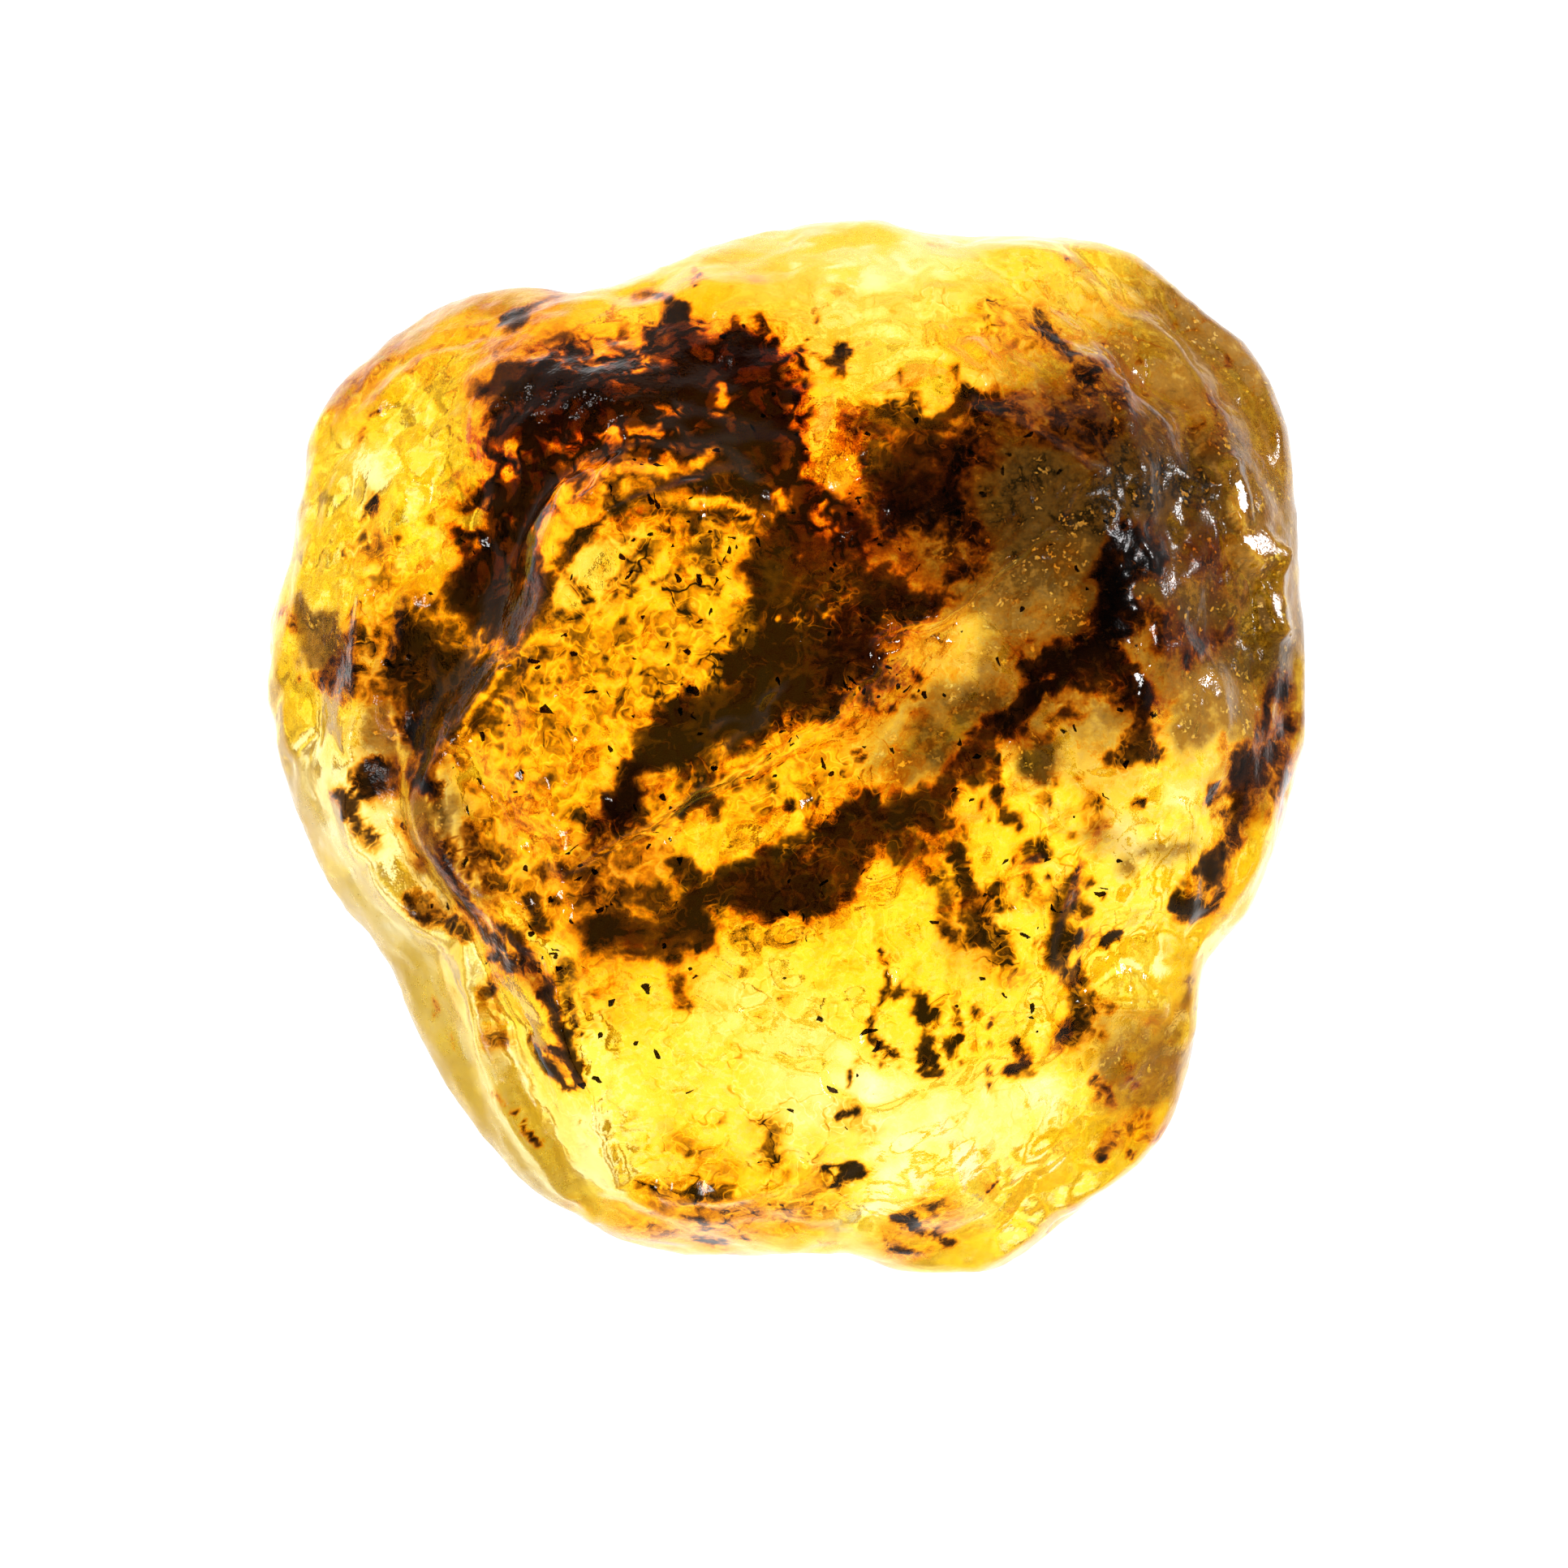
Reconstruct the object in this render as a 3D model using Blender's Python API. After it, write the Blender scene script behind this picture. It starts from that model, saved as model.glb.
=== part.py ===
"""A raw lump of amber, lying on the small flat that it rests on.

The lump is one piece. Its plan outline is a smooth closed curve. Over and under that outline the
surface is a rounded swell that flats have been worn into, and folds, creases, ledges, swells and
hollows shape it further. +X is right and +Y is up in plan, and +Z is up. Sizes are in millimetres.
"""

from collections import namedtuple
from math import asin, atan2, cos, degrees, exp, hypot, log1p, pi, radians, sin, tan

import bmesh
import bpy
from mathutils import Vector, noise

MM = 0.001

# Driving dimensions
HEIGHT = 26.0  # rest flat to the highest point of the swell, before flats are worn into it
RIM_HEIGHT = 11.0  # mean height of the widest line
RIM_WANDER = 1.5  # how far the widest line rises and falls
BELLY_DROP = 12.2  # widest line to the lowest point of the swell, most of it above the rest flat
SIDE_FULLNESS = 0.60  # below 1 the walls stand steeper than an ellipsoid's
TOP_FULLNESS = 0.86  # below 1 the top and bottom lie flatter than an ellipsoid's
GRID = 28  # quads along each edge of the cube that the lump is shaped from

# The plan outline: bearing from +X in degrees, and reach from the middle
OUTLINE = (
    (0, 24.7), (8, 25.1), (16, 25.7), (24, 26.7), (32, 28.2), (40, 29.2), (47, 29.1),
    (54, 28.9), (60, 28.1), (66, 26.8), (72, 25.8), (78, 25.8), (84, 25.5), (90, 25.4),
    (96, 24.5), (103, 24.0), (110, 24.0), (116, 24.4), (120, 25.4), (126, 26.5),
    (132, 27.4), (138, 27.6), (145, 27.4), (152, 26.3), (160, 25.5), (168, 25.4),
    (174, 25.2), (180, 24.5), (188, 23.6), (196, 22.9), (204, 22.0), (210, 21.7),
    (217, 22.3), (226, 23.0), (234, 23.9), (241, 24.6), (248, 24.9), (256, 24.7),
    (264, 24.4), (272, 24.3), (277, 24.4), (283, 25.8), (289, 26.8), (295, 26.8),
    (301, 26.2), (307, 26.3), (313, 25.9), (319, 25.2), (325, 24.0), (330, 22.8),
    (335, 22.6), (341, 23.5), (348, 23.8), (354, 24.1),
)

# A flat worn into the swell: its normal's bearing and tilt above the horizon, in degrees, and a
# point that it passes through
Flat = namedtuple("Flat", "bearing tilt through")
FLAT_EDGE = 0.8  # how softly a flat meets its neighbours
FLATS = (
    Flat(20, 84, (0, 4, 25.0)),  # crown
    Flat(206, 42, (-16.2, -1.5, 20.6)),  # south-west slope
    Flat(158, 52, (-13.5, 8, 22.4)),  # west shoulder
    Flat(120, 36, (-13, 18, 17.6)),  # north-west rim
    Flat(84, 50, (1, 18, 21.8)),  # north face
    Flat(46, 42, (14.5, 16, 19.6)),  # north-east rim
    Flat(6, 40, (19, 6, 19.4)),  # east slope
    Flat(328, 50, (14, -8, 20.4)),  # south-east slope
    Flat(322, 76, (6, -3, 23.8)),  # low plateau
    Flat(268, 68, (0, -9, 22.8)),  # south face
    Flat(258, 38, (-4, -20.0, 17.8)),  # south rim
    Flat(296, 44, (8.6, -20.8, 16.6)),  # south-east rim
    Flat(38, -60, (11, 9, 1.2)),  # from here on, the underside
    Flat(100, -44, (-2, 19.2, 4.0)),
    Flat(150, -56, (-13.2, 8.6, 2.4)),
    Flat(212, -42, (-15.4, -9.8, 4.0)),
    Flat(268, -50, (0, -18.2, 2.8)),
    Flat(330, -44, (16.8, -10.2, 4.4)),
    Flat(8, -38, (21.4, 2.4, 4.0)),
    Flat(205, -76, (-9, -4, 0.4)),
    Flat(85, -74, (1, 9.5, 0.4)),
)

# A crease follows a line in plan and stands height above its surroundings, or sinks if that is
# negative, by a bell of that width
Crease = namedtuple("Crease", "side height width line")
CREASES = (
    Crease("top", 0.9, 1.1, (  # outer ridge of the south-west slope
        (-20.4, 8.0), (-20.1, 3.0), (-20.6, 0.0), (-19.6, -3.8), (-17.6, -7.2), (-15.2, -9.8),
        (-14.3, -13.5), (-13.4, -16.4), (-11.2, -19.6), (-8.3, -22.0))),
    Crease("top", 0.9, 1.3, (  # crest between the slope and the belly
        (-13.4, 3.8), (-15.4, 1.2), (-16.4, -1.2), (-15.6, -3.8), (-13.2, -7.0), (-11.2, -10.0),
        (-10.2, -13.6), (-9.0, -17.6), (-6.6, -20.6))),
    Crease("top", 0.8, 1.2, (  # arch over the belly
        (-12.6, 4.6), (-11.2, 7.6), (-9.4, 10.2), (-6.4, 11.8), (-3.2, 12.0), (-1.2, 10.8))),
    Crease("top", -1.1, 1.5, (  # valley outside the arch
        (-17.8, -3.0), (-16.8, 1.6), (-14.4, 5.6), (-12.8, 9.0), (-10.4, 13.0), (-6.0, 14.4))),
    Crease("top", -0.8, 1.3, (  # sunken seam under the fold
        (-8.0, -5.2), (-3.0, -2.6), (2.2, -0.4), (6.0, 2.4), (9.0, 4.6), (13.0, 8.4))),
    Crease("top", 0.6, 1.1, ((8.5, 15.7), (11.0, 14.9), (13.2, 13.8), (15.6, 12.8))),
    Crease("top", -0.7, 1.4, ((15.8, 18.4), (17.4, 15.6), (17.8, 12.0), (17.0, 8.0))),
    Crease("top", 0.7, 1.2, ((21.0, 12.4), (22.0, 9.4), (22.9, 6.0), (23.4, 3.6))),
    Crease("top", -0.8, 1.2, ((19.2, -9.4), (17.6, -8.6), (15.6, -9.6), (13.2, -9.0))),
    Crease("top", 0.6, 1.2, ((19.6, -3.4), (18.6, -7.0), (17.0, -11.6), (14.4, -14.8))),
    Crease("top", 0.5, 1.2, ((-6.6, -20.8), (-2.6, -20.4), (1.4, -18.6), (3.6, -15.2))),
    Crease("bottom", 0.9, 1.4, ((-16.0, 9.0), (-12.0, 2.0), (-11.0, -6.0), (-6.0, -14.0))),
    Crease("bottom", -0.9, 1.6, ((12.0, 14.0), (9.0, 10.0), (12.0, 3.0), (17.0, -2.0))),
    Crease("bottom", 0.8, 1.3, ((-4.0, 17.0), (3.0, 13.0), (10.0, 14.0), (16.0, 10.0))),
    Crease("bottom", -0.8, 1.5, ((-3.0, -12.0), (4.0, -15.0), (10.0, -13.0), (14.0, -8.0))),
)

# A ledge steps down by drop on the right-hand side of its line, and climbs back over run
Ledge = namedtuple("Ledge", "side drop run line")
LEDGE_STEP = 1.0  # how wide the step itself is in plan
LEDGES = (
    Ledge("top", 1.3, 9.0, (  # the fold that crosses the top from south-west to north-east
        (-11.4, -6.2), (-6.5, -3.2), (-2.5, -1.0), (2.0, 1.3), (4.6, 3.6), (7.4, 6.4),
        (11.0, 9.0), (13.4, 12.4))),
    Ledge("top", 0.7, 5.0, ((3.6, 7.0), (3.0, 12.0), (4.6, 15.6), (8.6, 16.2), (11.4, 19.0))),
    Ledge("bottom", 0.9, 7.0, ((-15.0, -2.0), (-6.0, -9.0), (3.0, -11.0), (12.0, -4.0))),
)

# A swell or, where its height is negative, a hollow: a plan centre, a radius and a height
Swell = namedtuple("Swell", "side centre radius height")
SWELLS = (
    Swell("top", (-5.5, 6.5), 6.0, 0.9),  # belly under the arch
    Swell("top", (-14.6, 7.6), 3.0, -0.9),
    Swell("top", (-3.0, 17.2), 3.2, -0.7),
    Swell("top", (-11.0, 16.2), 3.4, 0.7),
    Swell("top", (6.0, 12.2), 4.2, -0.8),
    Swell("top", (12.6, 1.4), 3.8, -0.8),
    Swell("top", (17.4, 12.6), 3.2, 0.6),
    Swell("top", (1.4, -15.2), 5.6, 0.7),
    Swell("top", (11.0, -14.6), 3.6, -0.6),
    Swell("top", (15.2, -15.4), 3.2, 0.8),
    Swell("top", (6.8, -20.8), 3.0, 0.6),
    Swell("top", (18.4, 2.0), 3.0, 0.5),
    Swell("top", (-19.4, 12.4), 3.4, 0.6),
    Swell("bottom", (-14.0, -2.0), 4.4, -1.0),
    Swell("bottom", (3.0, 16.0), 4.0, -1.0),
    Swell("bottom", (14.0, 6.0), 4.2, -0.9),
    Swell("bottom", (10.0, -12.0), 3.6, -0.9),
    Swell("bottom", (-8.0, 12.0), 3.6, 0.8),
    Swell("bottom", (-8.0, -16.0), 3.4, 0.7),
)

# A scoop in the wall: bearing in degrees, height, radius and depth
Scoop = namedtuple("Scoop", "bearing height radius depth")
SCOOPS = (
    Scoop(20, 6.0, 4.0, 0.9),
    Scoop(58, 7.5, 4.4, -0.7),
    Scoop(72, 15.0, 3.2, 0.5),
    Scoop(112, 5.5, 4.6, 1.1),
    Scoop(148, 7.0, 4.0, -0.8),
    Scoop(180, 5.0, 4.2, 0.9),
    Scoop(206, 15.0, 3.4, 0.5),
    Scoop(238, 6.5, 4.2, 0.9),
    Scoop(276, 6.0, 3.6, 0.9),
    Scoop(300, 7.0, 4.0, -0.6),
    Scoop(333, 8.0, 3.8, 1.2),
)

# Unevenness that is all over the lump: wavelength and height of each layer
WAVES = ((9.0, 0.55), (4.2, 0.36), (2.4, 0.17))

AMBER_COLOUR = (0.90, 0.48, 0.05, 1.0)
AMBER_ROUGHNESS = 0.18
AMBER_IOR = 1.54


def clear_scene():
    """Removes whatever the file opened with."""
    for thing in list(bpy.data.objects):
        bpy.data.objects.remove(thing)


def outline_reach(bearing):
    """Reach of the plan outline at a bearing in degrees, on a smooth curve through OUTLINE."""
    bearing %= 360
    count = len(OUTLINE)
    after = next((i for i, (angle, _) in enumerate(OUTLINE) if angle > bearing), count)

    def station(i):
        turns, place = divmod(i, count)
        return OUTLINE[place][0] + 360 * turns, OUTLINE[place][1]

    (a0, r0), (a1, r1), (a2, r2), (a3, r3) = (station(after + i) for i in (-2, -1, 0, 1))
    t = (bearing - a1) / (a2 - a1)
    rise_1 = (r2 - r0) / (a2 - a0) * (a2 - a1)
    rise_2 = (r3 - r1) / (a3 - a1) * (a2 - a1)
    return (
        (2 * t**3 - 3 * t**2 + 1) * r1 + (t**3 - 2 * t**2 + t) * rise_1
        + (3 * t**2 - 2 * t**3) * r2 + (t**3 - t**2) * rise_2
    )


def rim_height(bearing):
    """Height of the lump's widest line at a bearing in degrees."""
    a = radians(bearing)
    return RIM_HEIGHT + RIM_WANDER * (0.6 * sin(2 * a + 0.8) + 0.4 * sin(3 * a - 1.1))


def swell_point(direction):
    """The point of the plain rounded swell that lies in this direction from its middle."""
    bearing = degrees(atan2(direction.y, direction.x))
    lift = asin(max(-1.0, min(1.0, direction.z)))
    reach = outline_reach(bearing) * max(cos(lift), 0.0) ** SIDE_FULLNESS
    rim = rim_height(bearing)
    share = abs(sin(lift)) ** TOP_FULLNESS
    height = rim + (HEIGHT - rim) * share if lift > 0 else rim - BELLY_DROP * share
    return Vector((reach * cos(radians(bearing)), reach * sin(radians(bearing)), height))


def worn(point):
    """The point after the flats have taken off what stands proud of them."""
    for flat in FLATS:
        level, tilt = radians(flat.bearing), radians(flat.tilt)
        normal = Vector((cos(tilt) * cos(level), cos(tilt) * sin(level), sin(tilt)))
        proud = (point - Vector(flat.through)).dot(normal) / FLAT_EDGE
        soft = max(proud, 0.0) + log1p(exp(-abs(proud)))
        point = point - normal * FLAT_EDGE * soft
    return point


def offset_from_line(x, y, line):
    """Distance in plan from a line, negative on its right-hand side, and 0 to 1 along it."""
    best = (1e9, 1.0, 0.0)
    steps = len(line) - 1
    for i, ((ax, ay), (bx, by)) in enumerate(zip(line, line[1:])):
        along = ((x - ax) * (bx - ax) + (y - ay) * (by - ay)) / ((bx - ax) ** 2 + (by - ay) ** 2)
        along = max(0.0, min(1.0, along))
        gap = hypot(x - ax - along * (bx - ax), y - ay - along * (by - ay))
        side = (bx - ax) * (y - ay) - (by - ay) * (x - ax)
        if gap < best[0]:
            best = (gap, side, (i + along) / steps)
    return (best[0] if best[1] > 0 else -best[0]), best[2]


def smooth(t):
    """Eases from 0 to 1 as t does."""
    t = max(0.0, min(1.0, t))
    return t * t * (3 - 2 * t)


def relief(x, y, side):
    """How far the creases, ledges and swells of one side move its surface outwards."""
    total = 0.0
    for crease in (c for c in CREASES if c.side == side):
        gap, along = offset_from_line(x, y, crease.line)
        ends = smooth(6 * along) * smooth(6 * (1 - along))
        total += crease.height * ends * exp(-((gap / crease.width) ** 2))
    for ledge in (s for s in LEDGES if s.side == side):
        gap, along = offset_from_line(x, y, ledge.line)
        ends = smooth(5 * along) * smooth(5 * (1 - along))
        step = smooth(0.5 - gap / LEDGE_STEP) * (1 - smooth(-gap / ledge.run))
        total -= ledge.drop * ends * step
    for swell in (s for s in SWELLS if s.side == side):
        gap = hypot(x - swell.centre[0], y - swell.centre[1]) / swell.radius
        total += swell.height * exp(-gap * gap)
    return total


def scooped(point):
    """The point after the wall's scoops have moved it towards the middle or away from it."""
    bearing = atan2(point.y, point.x)
    out = Vector((cos(bearing), sin(bearing), 0))
    for scoop in SCOOPS:
        centre_bearing = radians(scoop.bearing)
        reach = outline_reach(scoop.bearing)
        centre = Vector((reach * cos(centre_bearing), reach * sin(centre_bearing), scoop.height))
        gap = (point - centre).length / scoop.radius
        point = point - out * scoop.depth * exp(-gap * gap)
    return point


def unevenness(point):
    """Height of the small rises and falls that are all over the lump."""
    return sum(
        height * noise.noise(point / wavelength, noise_basis="PERLIN_NEW")
        for wavelength, height in WAVES
    )


def lump_point(direction):
    """The finished surface point that lies in this direction from the middle."""
    point = worn(swell_point(direction))
    side, up = ("top", 1) if direction.z > 0 else ("bottom", -1)
    facing = smooth(abs(direction.z) / 0.5)  # the relief fades out towards the rim
    point.z += up * facing * relief(point.x, point.y, side)
    point = scooped(point)
    return point + direction * unevenness(point)


def spread(u):
    """Places a cube's grid line so that the grid stays even once it is on a sphere."""
    return tan(u * pi / 4)


def centre_in_plan(bm):
    """Moves the lump sideways so that the middle of its extents is at the origin."""
    for axis in (0, 1):
        places = [vertex.co[axis] for vertex in bm.verts]
        middle = (min(places) + max(places)) / 2
        for vertex in bm.verts:
            vertex.co[axis] -= middle


def lump_mesh():
    """The lump's closed mesh, cut flat at the height of 0 where it rests."""
    bm = bmesh.new()
    bmesh.ops.create_cube(bm, size=2.0)
    bmesh.ops.subdivide_edges(bm, edges=bm.edges[:], cuts=GRID - 1, use_grid_fill=True)
    for vertex in bm.verts:
        direction = Vector([spread(u) for u in vertex.co]).normalized()
        vertex.co = lump_point(direction) * MM
    centre_in_plan(bm)
    bmesh.ops.bisect_plane(
        bm, geom=bm.verts[:] + bm.edges[:] + bm.faces[:], dist=1e-7,
        plane_co=(0, 0, 0), plane_no=(0, 0, 1), clear_inner=True,
    )
    bmesh.ops.holes_fill(bm, edges=[edge for edge in bm.edges if edge.is_boundary], sides=0)
    bmesh.ops.recalc_face_normals(bm, faces=bm.faces[:])
    if bm.calc_volume(signed=True) < 0:
        bmesh.ops.reverse_faces(bm, faces=bm.faces[:])
    mesh = bpy.data.meshes.new("amber_piece")
    bm.to_mesh(mesh)
    bm.free()
    mesh.shade_smooth()
    return mesh


def amber_material():
    """Clear golden amber."""
    material = bpy.data.materials.new("amber")
    material.use_nodes = True
    shader = material.node_tree.nodes["Principled BSDF"]
    shader.inputs["Base Color"].default_value = AMBER_COLOUR
    shader.inputs["Roughness"].default_value = AMBER_ROUGHNESS
    shader.inputs["Metallic"].default_value = 0.0
    shader.inputs["IOR"].default_value = AMBER_IOR
    shader.inputs["Transmission Weight"].default_value = 1.0
    return material


def main():
    clear_scene()
    mesh = lump_mesh()
    mesh.materials.append(amber_material())
    lump = bpy.data.objects.new("amber_piece", mesh)
    bpy.context.scene.collection.objects.link(lump)


main()
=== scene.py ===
import logging
from dataclasses import dataclass
from enum import Enum
from math import cos, pi, radians, sin
from typing import Any, Sequence

import bmesh
import bpy
import numpy as np
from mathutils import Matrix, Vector, kdtree, noise


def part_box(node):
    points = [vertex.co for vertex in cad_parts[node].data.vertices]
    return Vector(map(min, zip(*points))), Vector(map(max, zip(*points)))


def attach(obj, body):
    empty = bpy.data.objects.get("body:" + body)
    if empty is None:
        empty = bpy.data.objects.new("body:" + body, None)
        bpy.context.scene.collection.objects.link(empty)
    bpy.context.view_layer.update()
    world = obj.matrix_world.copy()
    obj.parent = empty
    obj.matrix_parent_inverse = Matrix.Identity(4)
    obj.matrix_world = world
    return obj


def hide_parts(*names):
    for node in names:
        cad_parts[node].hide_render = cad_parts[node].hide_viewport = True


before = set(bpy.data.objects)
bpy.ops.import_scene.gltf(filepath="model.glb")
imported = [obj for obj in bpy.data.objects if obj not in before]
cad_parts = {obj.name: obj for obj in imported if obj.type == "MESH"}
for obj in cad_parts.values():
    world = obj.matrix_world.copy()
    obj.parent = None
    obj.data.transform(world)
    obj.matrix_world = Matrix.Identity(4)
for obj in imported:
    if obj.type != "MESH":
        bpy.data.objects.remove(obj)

log = logging.getLogger("amber")
MM = 0.001
Row = tuple[float, ...]
Colour = tuple[float, float, float]


class Layer(Enum):
    """What a mark on the lump's skin changes there."""

    BURNT = "burnt"  # warm stain: gold, then orange, red-brown and black
    SMOKE = "smoke"  # dull stain: olive, then grey-brown and black
    CRUST = "crust"  # rough, wrinkled outside
    CRAZE = "craze"  # hairline cracks
    EMBER = "ember"  # makes the warm stain redder
    GOLD = "gold"  # the yellow of the skin, absent where the amber is palest and where highlights are painted
    FROST = "frost"  # worn dull, so that what is inside shows blurred


EYE_MM = (-0.03, -1.91, 326.8)  # where the lump is looked at from
PLAN_MM = 18.0  # the height at which plan places are given
SHIFT_MM = (0.13, -0.15)  # from plan places to the frame's origin

# Lines that several tables share: x and y of each point, in mm
OUTER_CREASE: Row = (-18.6, 1.6, -18.2, -1.4, -17.8, -3.6, -16.8, -5.6, -15.6, -7.6)
INNER_CREASE: Row = (-17.2, -2.4, -16.2, -4.4, -15.2, -6.2, -14, -8.4, -12.8, -10)
SLOPE_EDGE: Row = (-13.5, 3.5, -15, 1.5, -15.8, 0, -16.4, -1.5, -16, -3, -15.3, -5, -14.5, -6.5)
# The next line marks a painted highlight: the white strip along the east rim, which the stain tables
# clear.
HIGHLIGHT_STRIP: Row = (21, 11.9, 21.4, 10.8, 22.1, 9.9, 22.5, 8.7)
BREAK_LINE: Row = (20.9, 12.2, 21.4, 10.8, 22.1, 9.4, 22.6, 7.4, 22.8, 5.6)

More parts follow.
